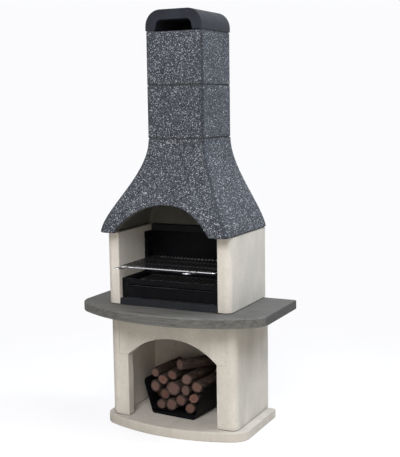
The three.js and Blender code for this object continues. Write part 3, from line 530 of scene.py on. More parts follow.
def stone_colours(nodes, tone):
    """Tones of washed river stones, from slate to white."""
    return nodes.ramp(tone, (
        (0.0, (0.008, 0.01, 0.014)), (0.4, (0.017, 0.02, 0.028)), (0.62, (0.046, 0.054, 0.068)),
        (0.8, (0.145, 0.157, 0.187)), (0.92, (0.345, 0.365, 0.405)), (1.0, (0.6, 0.62, 0.65)),
    ))


def make_washed(settings):
    """Washed aggregate outside, smooth cement on the bands and inside, and raw cement at the back."""
    nodes = MaterialNodes("washed_aggregate", specular=0.25)
    hood = settings.hood
    washed = nodes.attribute("washed")
    long_place = nodes.vector("MULTIPLY", nodes.place, (1.0, 0.5, 1.0))
    stones = nodes.aggregate(long_place, scale=250.0, joint=0.05)
    grit = nodes.aggregate(long_place, scale=520.0, joint=0.1)
    tone = nodes.mottling(scale=5.0, fine_scale=150.0)
    cement = nodes.shades(tone, hood.cement, 0.8, 1.25)
    gritty = nodes.blend(grit["Stone"] * 0.7, cement, stone_colours(nodes, grit["Tone"]))
    pebbled = nodes.blend(stones["Stone"], gritty, stone_colours(nodes, stones["Tone"]))
    band = nodes.shades(tone, hood.smooth, 0.85, 1.25)
    smooth = nodes.blend(nodes.attribute("inside"), band, nodes.shades(tone, hood.inside, 0.75, 1.2))
    raw = nodes.shades(tone, hood.cement, 1.1, 2.0)
    # Air holes painted darker, as painted shade in them
    raw = nodes.blend(nodes.pores(scale=60.0, share=0.3) * 0.7, raw, tinted(hood.cement, 0.5))
    at_back = nodes.split(nodes.place)[1] > HOOD_BACK - BACK_MARGIN
    colour = nodes.blend(washed, nodes.blend(at_back, smooth, raw), pebbled)
    roughness = nodes.lerp(washed, 0.78, nodes.spread(stones["Stone"], 0.0, 1.0, 0.85, 0.5))
    relief = nodes.math("MULTIPLY_ADD", grit["Height"], 0.3, stones["Height"])
    return nodes.finished(colour, roughness, nodes.lerp(washed, tone * 0.25, relief), 0.0012, 0.8)


def make_pebble(settings):
    """Stones that stand out of the cement, each with a tone of its own."""
    nodes = MaterialNodes("river_pebble", specular=0.5)
    vein = nodes.noise(nodes.place, 700.0, 4.0, 0.6, 0.6)
    colour = stone_colours(nodes, nodes.attribute("tone"))
    colour = nodes.blend(nodes.spread(vein, 0.4, 0.75, 0.0, 0.4), colour, (0.12, 0.12, 0.13))
    return nodes.finished(colour, nodes.spread(vein, 0.3, 0.7, 0.38, 0.6), vein, 0.0002, 0.5)


def make_steel(settings):
    """Black lacquered sheet steel with a fine grain, thin dust, and edges painted lighter: rubbed in
    places, and a painted highlight on the edges that face up.
    """
    nodes = MaterialNodes("black_lacquer", specular=0.06)
    dust = nodes.scuffs(scale=16.0, amount=0.5)
    rubbed = nodes.spread(nodes.noise(nodes.place, 60.0, 4.0), 0.4, 0.6, 0.2, 1.0)
    # Edges that face up are painted lighter, a painted highlight, broken up by noise as rubbed wear
    upward = nodes.spread(nodes.split(nodes.coordinate("Normal"))[2], 0.1, 0.5, 0.1, 1.0)
    edge = nodes.attribute("worn") * rubbed * upward
    colour = nodes.blend(dust, settings.metal.steel, (0.012, 0.0115, 0.0115))
    colour = nodes.blend(edge, colour, (0.16, 0.16, 0.17))
    grain = nodes.noise(nodes.place, 1400.0, 2.0)
    return nodes.finished(colour, nodes.spread(dust, 0.0, 1.0, 0.4, 0.72), grain, 0.0001, 0.5)


def make_iron(settings):
    """Cast iron with the coarse skin of a sand mould."""
    nodes = MaterialNodes("sand_cast_iron", metallic=0.35, specular=0.4)
    skin = nodes.noise(nodes.place, 500.0, 5.0, 0.65)
    colour = nodes.shades(nodes.mottling(scale=20.0, fine_scale=200.0), settings.metal.iron, 0.7, 1.6)
    return nodes.finished(colour, nodes.spread(skin, 0.3, 0.7, 0.6, 0.85), skin, 0.0006, 0.7)


def make_chrome(settings):
    """Chromed wire with faint drawing lines and haze, darker and duller on the bars and the ties."""
    nodes = MaterialNodes("bright_chrome", metallic=1.0)
    base = settings.metal.chrome
    haze = nodes.scuffs(scale=40.0, amount=0.6)
    used = nodes.attribute("used")
    colour = nodes.blend(used, nodes.shades(haze, base, 1.0, 0.78), nodes.shades(haze, base, 0.22, 0.1))
    roughness = nodes.lerp(used, nodes.spread(haze, 0.0, 1.0, 0.14, 0.4), 0.5)
    return nodes.finished(colour, roughness, haze, 0.0001, 0.3)


def make_bark(settings):
    """Furrowed bark that runs along each log."""
    nodes = MaterialNodes("bark", place="log_place", specular=0.25)
    base = settings.wood.bark
    x, y, z = nodes.split(nodes.place)
    furrow = nodes.noise(nodes.combine(x, y, z * 0.22), 150.0, 5.0, 0.65, 0.8)
    colour = nodes.ramp(furrow, ((0.3, tinted(base, 0.35)), (0.5, base), (0.68, tinted(base, 2.6))))
    patch = nodes.spread(nodes.noise(nodes.place, 25.0, 3.0), 0.45, 0.7, 0.0, 0.5)
    colour = nodes.blend(patch, colour, tinted(base, 1.9))
    return nodes.finished(colour, nodes.spread(furrow, 0.3, 0.7, 0.95, 0.8), furrow, 0.0025, 0.9)


RED_HEART = (0.13, 0.05, 0.038)
GREYED_WOOD = (0.115, 0.08, 0.073)
RINGS_PER_METRE = 420.0


def make_cut_wood(settings):
    """Sawn ends with year rings, drying cracks, a red heart and a ragged rim of bark."""
    nodes = MaterialNodes("cut_wood", place="log_place", specular=0.25)
    place = nodes.place
    rim = nodes.attribute("log_rim")
    own = nodes.attribute("log_tone")
    base = settings.wood.cut
    x, y, _ = nodes.split(place)
    radius = nodes.length(nodes.combine(x, y, 0.0)) + nodes.noise(place, 60.0, 3.0) * 0.007
    ring = nodes.math("PINGPONG", nodes.math("FRACT", radius * RINGS_PER_METRE), 0.5)
    angle = nodes.math("ARCTAN2", y, x)
    crack = nodes.spread(nodes.noise(nodes.combine(angle * 3.0, radius, own), 3.0, 4.0, 0.7), 0.66, 0.74)
    fibre = nodes.noise(place, 800.0, 3.0)
    blotch = nodes.spread(nodes.noise(place, 45.0, 4.0, 0.6), 0.35, 0.65, 0.0, 0.7)
    ragged = nodes.math("MULTIPLY_ADD", nodes.noise(place, 80.0, 3.0), 0.7, rim - 0.35)
    colour = base
    for share, tint in (
        (nodes.spread(ring, 0.0, 0.5, 0.0, 0.55), tinted(base, 0.5)),
        (nodes.spread(fibre, 0.35, 0.65, 0.0, 0.35), tinted(base, 1.3)),
        (blotch, tinted(base, 0.45)),
        (nodes.spread(own, 0.0, 1.0, 0.0, 0.8), tinted(base, 0.42)),
        (nodes.spread(rim, 0.1, 0.6, 0.55, 0.0), RED_HEART),
        (nodes.math("FRACT", own * 5.3) * 0.6, GREYED_WOOD),
        # Drying cracks painted almost black, as painted shade in them
        (crack * 0.8, tinted(base, 0.12)),
        (nodes.spread(ragged, 0.74, 0.92), tinted(settings.wood.bark, 0.8)),
    ):
        colour = nodes.blend(share, colour, tint)
    roughness = nodes.spread(fibre, 0.3, 0.7, 0.75, 0.92)
    return nodes.finished(colour, roughness, ring * 0.4 - crack, 0.0009, 0.8)


FINISHES = {
    "cast_cream": make_cream,
    "rubbed_stone": make_stone_top,
    "fireproof_casting": make_refractory,
    "joint_mortar": make_adhesive,
    "slate_cement": make_slate,
    "washed_aggregate": make_washed,
    "river_pebble": make_pebble,
    "black_lacquer": make_steel,
    "sand_cast_iron": make_iron,
    "bright_chrome": make_chrome,
    "bark": make_bark,
    "cut_wood": make_cut_wood,
}


def finish(name):
    """The finish of this name, made the first time it is asked for."""
    return bpy.data.materials.get(name) or FINISHES[name](bpy.context.scene.barbecue)


# Making pieces

WELD_DISTANCE = 5e-6
FLAT_ANGLE = math.radians(0.4)
SHARP_ANGLE = math.radians(34)
SHADE_ANGLE = math.radians(38)
ARRIS_STEPS = 2
LARGE_FACE_WEIGHT = 60


def new_piece(name, mesh, material=None):
    piece = bpy.data.objects.new(name, mesh)
    bpy.context.scene.collection.objects.link(piece)
    if material:
        mesh.materials.clear()
        mesh.materials.append(material)
    return piece


def stand_for(node, piece):
    """Lets a piece ride on its CAD node's body, and stand for the node, which is hidden."""
    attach(piece, frame["nodes"][node]["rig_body"])
    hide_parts(node)


def round_arrises(shape, radius):
    """Rounds every sharp edge of a shape, and marks the new faces, which some finishes paint lighter as
    wear and as a painted highlight.
    """
    worn = shape.faces.layers.float.new("worn")
    sharp = [edge for edge in shape.edges if edge.calc_face_angle(0.0) > SHARP_ANGLE]
    made = bmesh.ops.bevel(
        shape, geom=sharp, offset=radius, offset_type="OFFSET", segments=ARRIS_STEPS, profile=0.5,
        affect="EDGES", clamp_overlap=True, loop_slide=False,
    )
    for face in made["faces"]:
        face[worn] = 1.0


def shade(piece):
    """Smooth shading that keeps flat faces flat and sharp edges sharp."""
    for polygon in piece.data.polygons:
        polygon.use_smooth = True
    piece.data.set_sharp_from_angle(angle=SHADE_ANGLE)
    weighted = piece.modifiers.new("Weighted normals", "WEIGHTED_NORMAL")
    weighted.keep_sharp = True
    weighted.weight = LARGE_FACE_WEIGHT


def mesh_of(shape, name):
    """The mesh that a BMesh shape holds, which is freed."""
    mesh = bpy.data.meshes.new(name)
    shape.to_mesh(mesh)
    shape.free()
    return mesh


def rounded_piece(node, material, radius, mark=None):
    """A copy of a CAD node with welded corners and rounded arrises, which stands for the node."""
    shape = bmesh.new()
    shape.from_mesh(frame["nodes"][node].data)
    bmesh.ops.remove_doubles(shape, verts=shape.verts, dist=WELD_DISTANCE)
    bmesh.ops.dissolve_limit(
        shape, angle_limit=FLAT_ANGLE, verts=shape.verts, edges=shape.edges, delimit={"NORMAL"},
    )
    round_arrises(shape, radius)
    if mark:
        mark(shape, *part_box(node))
    piece = new_piece(f"{node}_cast", mesh_of(shape, f"{node}_cast"), finish(material))
    shade(piece)
    stand_for(node, piece)


def shaped_by(make, tree_name, name, values, base=None, extra=()):
    """The plain mesh that a geometry tree makes from named sizes."""
    holder = new_piece(name, base or bpy.data.meshes.new(name))
    tree = shared(tree_name, make)
    modifier = holder.modifiers.new(tree_name, "NODES")
    modifier.node_group = tree
    for item in tree.interface.items_tree:
        if item.in_out == "INPUT" and item.name in values:
            value = values[item.name]
            modifier[item.identifier] = list(value) if isinstance(value, (tuple, Vector)) else value
    for kind, settings in extra:
        added = holder.modifiers.new(kind, kind)
        for key, value in settings.items():
            setattr(added, key, value)
    evaluated = holder.evaluated_get(bpy.context.evaluated_depsgraph_get())
    mesh = bpy.data.meshes.new_from_object(evaluated)
    holder.modifiers.clear()
    bpy.data.objects.remove(holder)
    mesh.name = name
    return mesh


def shaped_piece(node, ending, make, tree_name, values, base=None):
    """A piece that a geometry tree makes from named sizes, which stands for a CAD node."""
    name = f"{node}_{ending}"
    stand_for(node, new_piece(name, shaped_by(make, tree_name, name, values, base)))


def stored_on(nodes, geometry, label, value, kind="FLOAT"):
    """The geometry with a value stored on its points."""
    return nodes.add("GeometryNodeStoreNamedAttribute", {
        "Geometry": geometry, "Name": label, "Value": value,
    }, data_type=kind, domain="POINT")


# The hood, a casting that follows a rule

# Flares of the sides and of the front: control points of a smooth curve, from the chimney down
SIDE_FLARE = ((0, 0), (0.35, 0), (0.75, 0.88), (1, 1))
FRONT_FLARE = ((0, 0), (0.45, 0), (0.72, 1), (1, 1))
FLARE_STOPS = 12
FLARE_HALVINGS = 40
CORNER_STEPS = 7
HOOD_LEVELS = 40
HOOD_BACK = 0.3
BACK_MARGIN = 0.002
HOOD_FOOT_RADIUS = 0.036
HOOD_TOP_RADIUS = 0.014
HOOD_BACK_RADIUS = 0.008
HOOD_INNER_RADIUS = 0.02
HOOD_WALL_SIDE = 0.063
HOOD_WALL_FRONT = 0.04
HOOD_WALL_BACK = 0.1
FLUE_WALL_SIDE = 0.051
FLUE_WALL = 0.056
FLUE_BEYOND = 0.02
HOOD_ARCH_WIDTH = 0.518
HOOD_ARCH_RISE = 0.142
MOUTH_BEYOND = 0.03
MOUTH_STEPS = 128
TONGUE_WIDTH = 0.016
TONGUE_HEIGHT = 0.008
BED_HEIGHT = 0.003


def cubic(t, values):
    start, first, second, end = values
    rest = 1 - t
    return start * rest ** 3 + 3 * first * rest ** 2 * t + 3 * second * rest * t ** 2 + end * t ** 3


def flare_share(down, controls):
    """Share of the flare at a share of the way down, on a cubic curve with these control points."""
    low, high = 0.0, 1.0
    for _ in range(FLARE_HALVINGS):
        middle = (low + high) / 2
        if cubic(middle, [across for across, _ in controls]) < down:
            low = middle
        else:
            high = middle
    return cubic(low, [share for _, share in controls])


def flare_curve(nodes, down, controls):
    """A float curve node that holds the flare."""
    flare = nodes.add("ShaderNodeFloatCurve", {"Value": down})
    mapping = flare.node.mapping
    for stop in range(1, FLARE_STOPS):
        mapping.curves[0].points.new(stop / FLARE_STOPS, flare_share(stop / FLARE_STOPS, controls))
    mapping.update()
    return flare


def make_flared_prism(name):
    """A closed prism with rounded corners that widens from its top to its foot."""
    nodes, given = shape_tree(name, {
        "Foot Width": 0.7, "Foot Front": 0.5, "Foot Back": 0.0, "Foot Radius": 0.03,
        "Foot Back Radius": 0.01, "Foot Height": 0.0, "Top Width": 0.3, "Top Front": 0.3, "Top Back": 0.0,
        "Top Radius": 0.01, "Top Back Radius": 0.01, "Top Height": 0.5, "Beyond": 0.0, "Back Plane": 0.0,
    })
    per_corner = CORNER_STEPS + 1
    round_count = 4 * per_corner
    drum = nodes.add("GeometryNodeMeshCylinder", {
        "Vertices": round_count, "Side Segments": HOOD_LEVELS, "Radius": 1.0, "Depth": 2.0,
    }, fill_type="NGON")
    x, y, z = nodes.split(nodes.add("GeometryNodeInputPosition"))
    turn = nodes.math("ARCTAN2", y, x) / (2 * math.pi)
    step = nodes.math("ROUND", (turn % 1.0) * round_count) % round_count
    corner = nodes.math("FLOOR", (step + 0.25) / per_corner)
    within = (step - corner * per_corner) / CORNER_STEPS
    angle = (corner + within) * (math.pi / 2)
    middle = (corner + 0.5) * (math.pi / 2)
    side = nodes.math("SIGN", nodes.math("COSINE", middle))
    rear = nodes.math("SIGN", nodes.math("SINE", middle))
    is_back = rear > 0.0

    lowest = given["Foot Height"] - given["Beyond"]
    highest = given["Top Height"] + given["Beyond"]
    height = nodes.lerp(nodes.spread(z, -1.0, 1.0), lowest, highest)
    tall = given["Top Height"] - given["Foot Height"]
    down = nodes.math("DIVIDE", given["Top Height"] - height, tall, clamp=True)
    wide = flare_curve(nodes, down, SIDE_FLARE)
    forward = flare_curve(nodes, down, FRONT_FLARE)

    def at_height(share, label):
        return nodes.lerp(share, given[f"Top {label}"], given[f"Foot {label}"])

    radius = nodes.lerp(is_back, at_height(wide, "Radius"), at_height(wide, "Back Radius"))
    depth = nodes.lerp(is_back, at_height(forward, "Front"), at_height(wide, "Back"))
    centre_x = side * (at_height(wide, "Width") / 2.0 - radius)
    centre_y = given["Back Plane"] - depth - rear * radius
    new_x = nodes.math("MULTIPLY_ADD", nodes.math("COSINE", angle), radius, centre_x)
    new_y = nodes.math("MULTIPLY_ADD", nodes.math("SINE", angle), radius, centre_y)
    place = nodes.combine(new_x, new_y, height)
    return nodes.give(Mesh=nodes.add("GeometryNodeSetPosition", {"Geometry": drum, "Position": place}))


def make_hood_tree(name):
    """The hood: a flared casting, hollowed by a flared flue and cut by the arch of its mouth."""
    nodes, given = shape_tree(name, {
        "Foot Width": 0.702, "Foot Depth": 0.505, "Top Width": 0.31, "Top Depth": 0.328,
        "Foot Height": 1.013, "Top Height": 1.473, "Back Plane": HOOD_BACK,
        "Arch Width": HOOD_ARCH_WIDTH, "Arch Rise": HOOD_ARCH_RISE, "Finish": "Material",
    })
    back, foot, top = given["Back Plane"], given["Foot Height"], given["Top Height"]

    def prism(width, front, back_wall, radius, back_radius, heights=(foot, top), beyond=0.0):
        """A flared prism. Each size is a pair: at the foot and at the top."""
        inputs = {"Back Plane": back, "Beyond": beyond}
        sizes = {
            "Width": width, "Front": front, "Back": back_wall, "Radius": radius,
            "Back Radius": back_radius, "Height": heights,
        }
        for label, pair in sizes.items():
            inputs[f"Foot {label}"], inputs[f"Top {label}"] = pair
        return nodes.group("Flared prism", make_flared_prism, inputs)

    outer = prism(
        (given["Foot Width"], given["Top Width"]), (given["Foot Depth"], given["Top Depth"]), (0.0, 0.0),
        (HOOD_FOOT_RADIUS, HOOD_TOP_RADIUS), (HOOD_BACK_RADIUS, HOOD_BACK_RADIUS),
    )
    flue_width = given["Top Width"] - 2 * FLUE_WALL_SIDE
    flue_front = given["Top Depth"] - FLUE_WALL
    inner_radius = (HOOD_INNER_RADIUS, HOOD_INNER_RADIUS)
    inner = prism(
        (given["Foot Width"] - 2 * HOOD_WALL_SIDE, flue_width),
        (given["Foot Depth"] - HOOD_WALL_FRONT, flue_front), (HOOD_WALL_BACK, FLUE_WALL),
        inner_radius, inner_radius, beyond=FLUE_BEYOND,
    )
    tongue_radius = (HOOD_TOP_RADIUS, HOOD_TOP_RADIUS)
    tongue_width = flue_width + 2 * TONGUE_WIDTH
    tongue_front = flue_front + TONGUE_WIDTH
    tongue_back = FLUE_WALL - TONGUE_WIDTH
    tongue = prism(
        (tongue_width, tongue_width), (tongue_front, tongue_front), (tongue_back, tongue_back),
        tongue_radius, tongue_radius, heights=(top - TONGUE_HEIGHT, top + TONGUE_HEIGHT),
    )
    half, rise = given["Arch Width"] / 2.0, given["Arch Rise"]
    radius = (half * half + rise * rise) / (rise * 2.0)
    mouth_front = back - (given["Foot Depth"] + MOUTH_BEYOND)
    mouth_back = back - flue_front
    drum = nodes.add("GeometryNodeMeshCylinder", {
        "Vertices": MOUTH_STEPS, "Radius": radius, "Depth": mouth_back - mouth_front,
    }, fill_type="NGON")
    mouth = nodes.add("GeometryNodeTransform", {
        "Geometry": drum, "Rotation": (math.pi / 2, 0.0, 0.0),
        "Translation": nodes.combine(0.0, (mouth_back + mouth_front) / 2.0, foot + rise - radius),
    })
    whole = nodes.add("GeometryNodeMeshBoolean", operation="UNION", solver="EXACT")
    hollow = nodes.add("GeometryNodeMeshBoolean", {"Mesh 1": whole}, operation="DIFFERENCE", solver="EXACT")
    for made, solids in ((whole, (outer, tongue)), (hollow, (inner, mouth))):
        for solid in solids:
            nodes.put(made.node.inputs["Mesh 2"], solid)
    realized = nodes.add("GeometryNodeRealizeInstances", {"Geometry": hollow})
    finished = nodes.add("GeometryNodeSetMaterial", {"Geometry": realized, "Material": given["Finish"]})
    return nodes.give(Mesh=finished)


# How stones thin out along an upright arris: the thinnest line, the way from there to the full share, the
# least share, and how much of half the arc the line and the way may take
ARRIS_LINE = 0.0025
ARRIS_FADE = 0.014
ARRIS_LEAST = 0.15
ARRIS_PART = 0.9
# Depth of the skin that counts as outside, and margins at the foot and the top of the hood
SKIN = 0.012
FOOT_MARGIN = 0.003
TOP_MARGIN = 0.001
# Parts of a normal from which a face looks back, forward or up, and to which it is upright
LOOKS_BACK = 0.8
LOOKS_FORWARD = -0.2
LOOKS_UP = 0.9
UPRIGHT = 0.1


def off_arris(normal, radius):
    """Share of stones near an upright arris of this radius: least in its middle, and 1 on either side."""
    turn = abs(math.atan2(abs(normal.x), abs(normal.y)) - math.pi / 4)
    reach = min(ARRIS_FADE, ARRIS_PART * math.pi / 4 * radius - ARRIS_LINE)
    fade = min(1.0, max(0.0, (turn * radius - ARRIS_LINE) / reach))
    return ARRIS_LEAST + (1 - ARRIS_LEAST) * fade


class BARBECUE_OT_hood(bpy.types.Operator):
    """Casts the flared hood with its arched mouth."""

    bl_idname = "barbecue.hood"
    bl_label = "Hood"

    def execute(self, context):
        settings = context.scene.barbecue.hood
        low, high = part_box("hood")
        section_low, section_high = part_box("chimney_lower")
        top = section_low.z - BED_HEIGHT
        half_top = (section_high.x - section_low.x) / 2
        top_depth = HOOD_BACK - section_low.y
        half_foot, foot_depth = high.x, HOOD_BACK - low.y
        mesh = shaped_by(make_hood_tree, "Flared hood", "hood_cast", {
            "Foot Width": 2 * half_foot, "Foot Depth": foot_depth, "Top Width": 2 * half_top,
            "Top Depth": top_depth, "Foot Height": low.z, "Top Height": top,
            "Finish": finish("washed_aggregate"),
        }, extra=(
            ("REMESH", {"mode": "VOXEL", "voxel_size": settings.voxel, "use_smooth_shade": True}),
            ("SMOOTH", {"factor": 0.5, "iterations": 3}),
        ))
        arch_radius = (HOOD_ARCH_WIDTH ** 2 / 4 + HOOD_ARCH_RISE ** 2) / (2 * HOOD_ARCH_RISE)
        arch_centre = low.z + HOOD_ARCH_RISE - arch_radius
        half_band = settings.edge_band / 2

        def flare_at(height, controls):
            return flare_share(min(1.0, max(0.0, (top - height) / (top - low.z))), controls)

        def depth_inside(place):
            half = half_top + (half_foot - half_top) * flare_at(place.z, SIDE_FLARE)
            depth = top_depth + (foot_depth - top_depth) * flare_at(place.z, FRONT_FLARE)
            return min(half - abs(place.x), place.y - (HOOD_BACK - depth), HOOD_BACK - place.y)

        def is_inside(place, normal):
            return float(depth_inside(place) > SKIN and place.z - FOOT_MARGIN > low.z)

        def is_washed(place, normal):
            if depth_inside(place) > SKIN or normal.y > LOOKS_BACK or place.z > top - TOP_MARGIN:
                return 0.0
            off_mouth = math.hypot(place.x, place.z - arch_centre) - arch_radius
            if normal.y < LOOKS_FORWARD and off_mouth < settings.edge_band:
                return 0.0
            off_ends = min(place.z - low.z, top - place.z)
            wide = flare_at(place.z, SIDE_FLARE)
            radius = HOOD_TOP_RADIUS + (HOOD_FOOT_RADIUS - HOOD_TOP_RADIUS) * wide
            return min(off_arris(normal, radius), max(0.0, (off_ends - half_band) / half_band))

        for name, rule in (("washed", is_washed), ("inside", is_inside)):
            stored = mesh.attributes.new(name, "FLOAT", "POINT")
            stored.data.foreach_set("value", [rule(v.co, v.normal) for v in mesh.vertices])
        stand_for("hood", new_piece("hood_cast", mesh, finish("washed_aggregate")))
        return {"FINISHED"}


def mark_section(shape, low, high):
    """Stores on each face of a chimney section whether it is washed, and whether it is inside."""
    washed = shape.faces.layers.float.new("washed")
    inside = shape.faces.layers.float.new("inside")
    for face in shape.faces:
        middle = face.calc_center_median()
        upward = abs(face.normal.z)
        off_edge = min(high.x - abs(middle.x), middle.y - low.y, high.y - middle.y)
        if off_edge > SKIN and upward <= LOOKS_UP:
            face[inside] = 1.0
        elif upward < UPRIGHT and face.normal.y < LOOKS_BACK:
            face[washed] = off_arris(face.normal, HOOD_TOP_RADIUS)


class BARBECUE_OT_chimney(bpy.types.Operator):
    """Casts the two chimney sections, whose stones thin out along the upright arrises, and the cap."""

    bl_idname = "barbecue.chimney"
    bl_label = "Chimney"

    def execute(self, context):
        arris = context.scene.barbecue.masonry.arris
        for node in CHIMNEY_SECTIONS:
            rounded_piece(node, "washed_aggregate", arris, mark_section)
        rounded_piece("chimney_cap", "slate_cement", arris)
        return {"FINISHED"}


# Pebbles that stand out of the castings

PEBBLE_SEED = 7
PEBBLE_DENSITY = 9000.0
FULLY_WASHED = 0.95


def make_pebble_tree(name):
    """Small stones set apart over the washed faces of a casting, each with its own size, turn and tone."""
    nodes, given = shape_tree(name, {
        "Mesh": "Geometry", "Distance": 0.011, "Size": 0.0036, "Rise": 0.001, "Seed": PEBBLE_SEED,
        "Finish": "Material",
    })
    washed = nodes.add("GeometryNodeInputNamedAttribute", {"Name": "washed"}, data_type="FLOAT")
    points = nodes.add("GeometryNodeDistributePointsOnFaces", {
        "Mesh": given["Mesh"], "Selection": washed > FULLY_WASHED, "Distance Min": given["Distance"],
        "Density Max": PEBBLE_DENSITY, "Seed": given["Seed"],
    }, distribute_method="POISSON")
    ball = nodes.add("GeometryNodeMeshIcoSphere", {"Radius": 1.0, "Subdivisions": 1})

    def chance(low, high, salt):
        """A random number. Sockets 2, 3 and 1 are the ones for numbers, as vectors come first."""
        inputs = {2: low, 3: high, "Seed": given["Seed"] + salt}
        return nodes.add("FunctionNodeRandomValue", inputs, data_type="FLOAT")[1]

    size = given["Size"] * chance(0.5, 1.0, 11.0)
    long_size = size * chance(1.0, 1.35, 12.0)
    height = given["Rise"] * chance(0.7, 1.0, 13.0)
    spin = nodes.add("FunctionNodeAxisAngleToRotation", {
        "Axis": (0.0, 0.0, 1.0), "Angle": chance(0.0, 2 * math.pi, 14.0),
    })
    turned = nodes.add("FunctionNodeRotateRotation", {
        "Rotation": points["Rotation"], "Rotate By": spin,
    }, rotation_space="LOCAL")
    toned = stored_on(nodes, points, "tone", chance(0.2, 0.94, 15.0))
    spread = nodes.add("GeometryNodeInstanceOnPoints", {
        "Points": toned, "Instance": ball, "Rotation": turned,
        "Scale": nodes.combine(long_size, size, height),
    })
    realized = nodes.add("GeometryNodeRealizeInstances", {"Geometry": spread})
    smooth = nodes.add("GeometryNodeSetShadeSmooth", {"Geometry": realized})
    finished = nodes.add("GeometryNodeSetMaterial", {"Geometry": smooth, "Material": given["Finish"]})
    return nodes.give(Mesh=finished)


class BARBECUE_OT_pebbles(bpy.types.Operator):
    """Sets standing pebbles on the washed faces of the hood and the chimney sections."""

    bl_idname = "barbecue.pebbles"
    bl_label = "Pebbles"

    def execute(self, context):
        settings = context.scene.barbecue.hood
        for number, node in enumerate(("hood", *CHIMNEY_SECTIONS)):
            casting = bpy.data.objects.get(f"{node}_cast")
            if casting is None:
                raise RuntimeError(f"{node}_cast has to be made before its pebbles")
            mesh = shaped_by(make_pebble_tree, "Standing pebbles", f"{node}_pebbles", {
                "Distance": settings.pebble_gap, "Size": settings.pebble_size, "Rise": settings.pebble_rise,
                "Seed": PEBBLE_SEED + number, "Finish": finish("river_pebble"),
            }, base=casting.data.copy())
            piece = new_piece(f"{node}_pebbles", mesh)
            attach(piece, "masonry")
        return {"FINISHED"}


# Walls, worktop, joints, fire set and basket

class BARBECUE_OT_walls(bpy.types.Operator):
    """Rounds the arrises of the walls, the slab, the worktop and the hearth."""

    bl_idname = "barbecue.walls"
    bl_label = "Walls"

    def execute(self, context):
        arris = context.scene.barbecue.masonry.arris
        for node in CREAM_CASTINGS:
            rounded_piece(node, "cast_cream", arris)
        for node in DARK_CASTINGS:
            rounded_piece(node, "fireproof_casting", arris / 2)
        rounded_piece("worktop", "rubbed_stone", arris / 2)
        return {"FINISHED"}


class BARBECUE_OT_joints(bpy.types.Operator):
    """Gives the adhesive beds their finish."""

    bl_idname = "barbecue.joints"
    bl_label = "Joints"

    def execute(self, context):
        for node in BEDS:
            for place in frame["nodes"][node].material_slots:
                place.material = finish("joint_mortar")
        return {"FINISHED"}


class BARBECUE_OT_fire_set(bpy.types.Operator):
    """Rounds the folds of the shield, the carriers, the fire box and its trays, and the ember grate."""

    bl_idname = "barbecue.fire_set"
    bl_label = "Fire set"

    def execute(self, context):
        fold = context.scene.barbecue.metal.fold
        for node in FIRE_SET:
            rounded_piece(node, "black_lacquer", fold)
        for node in SCREWS:
            rounded_piece(node, "black_lacquer", fold / 2)
        rounded_piece("ember_grate", "sand_cast_iron", 2 * fold)
        return {"FINISHED"}


class BARBECUE_OT_basket(bpy.types.Operator):
    """Rounds the folds of the log basket."""

    bl_idname = "barbecue.basket"
    bl_label = "Basket"

    def execute(self, context):
        rounded_piece("log_basket", "black_lacquer", context.scene.barbecue.metal.fold)
        return {"FINISHED"}


# Cooking grate of chromed wire

FRAME_ROD = 0.0035
GRATE_BAR = 0.00225
GRATE_TIE = 0.0025
HANDLE_ROD = 0.003
FRAME_CORNER = 0.014
CORNER_POINTS = 7
GRATE_PITCH = 0.02
GRATE_TIES = 2
WELD_DEPTH = 0.001
HANDLE_REACH = 0.09
HANDLE_RISE = 0.008
HANDLE_SHARES = ((1, 0), (1, 0.3), (1, 0.62), (0.95, 0.84), (0.6, 0.97), (0, 1))
HANDLE_STEPS = 60
BENT_ANGLE = math.radians(40)
WIRE_INPUTS = {"Radius": 0.003, "Sides": 12, "Finish": "Material"}


def wire_along(nodes, curve, given):
    """A round wire along a curve, with closed ends."""
    inputs = {"Resolution": given["Sides"], "Radius": given["Radius"]}
    circle = nodes.add("GeometryNodeCurvePrimitiveCircle", inputs, mode="RADIUS")
    inputs = {"Curve": curve, "Profile Curve": circle, "Fill Caps": True}
    return nodes.add("GeometryNodeCurveToMesh", inputs)


def finished_wire(nodes, mesh, given):
    """Ends a tree with real geometry, smooth shading by angle, and the finish."""
    realized = nodes.add("GeometryNodeRealizeInstances", {"Geometry": mesh})
    bent = nodes.add("GeometryNodeInputMeshEdgeAngle")
    smooth = nodes.add("GeometryNodeSetShadeSmooth", {"Geometry": realized}, domain="FACE")
    sharp = nodes.add("GeometryNodeSetShadeSmooth", {
        "Geometry": smooth, "Selection": bent > BENT_ANGLE, "Shade Smooth": False,
    }, domain="EDGE")
    finished = nodes.add("GeometryNodeSetMaterial", {"Geometry": sharp, "Material": given["Finish"]})
    return nodes.give(Mesh=finished)


def make_ring_tree(name):
    """A closed ring of wire: a rectangle with bent corners."""
    nodes, given = shape_tree(name, {
        "Width": 0.5, "Depth": 0.3, "Corner": FRAME_CORNER, "Place": (0.0, 0.0, 0.0), **WIRE_INPUTS,
    })
    inputs = {"Width": given["Width"], "Height": given["Depth"]}
    path = nodes.add("GeometryNodeCurvePrimitiveQuadrilateral", inputs)
    inputs = {"Curve": path, "Radius": given["Corner"], "Count": CORNER_POINTS}
    bent = nodes.add("GeometryNodeFilletCurve", inputs, mode="POLY")
    placed = nodes.add("GeometryNodeTransform", {"Geometry": bent, "Translation": given["Place"]})
    return finished_wire(nodes, wire_along(nodes, placed, given), given)


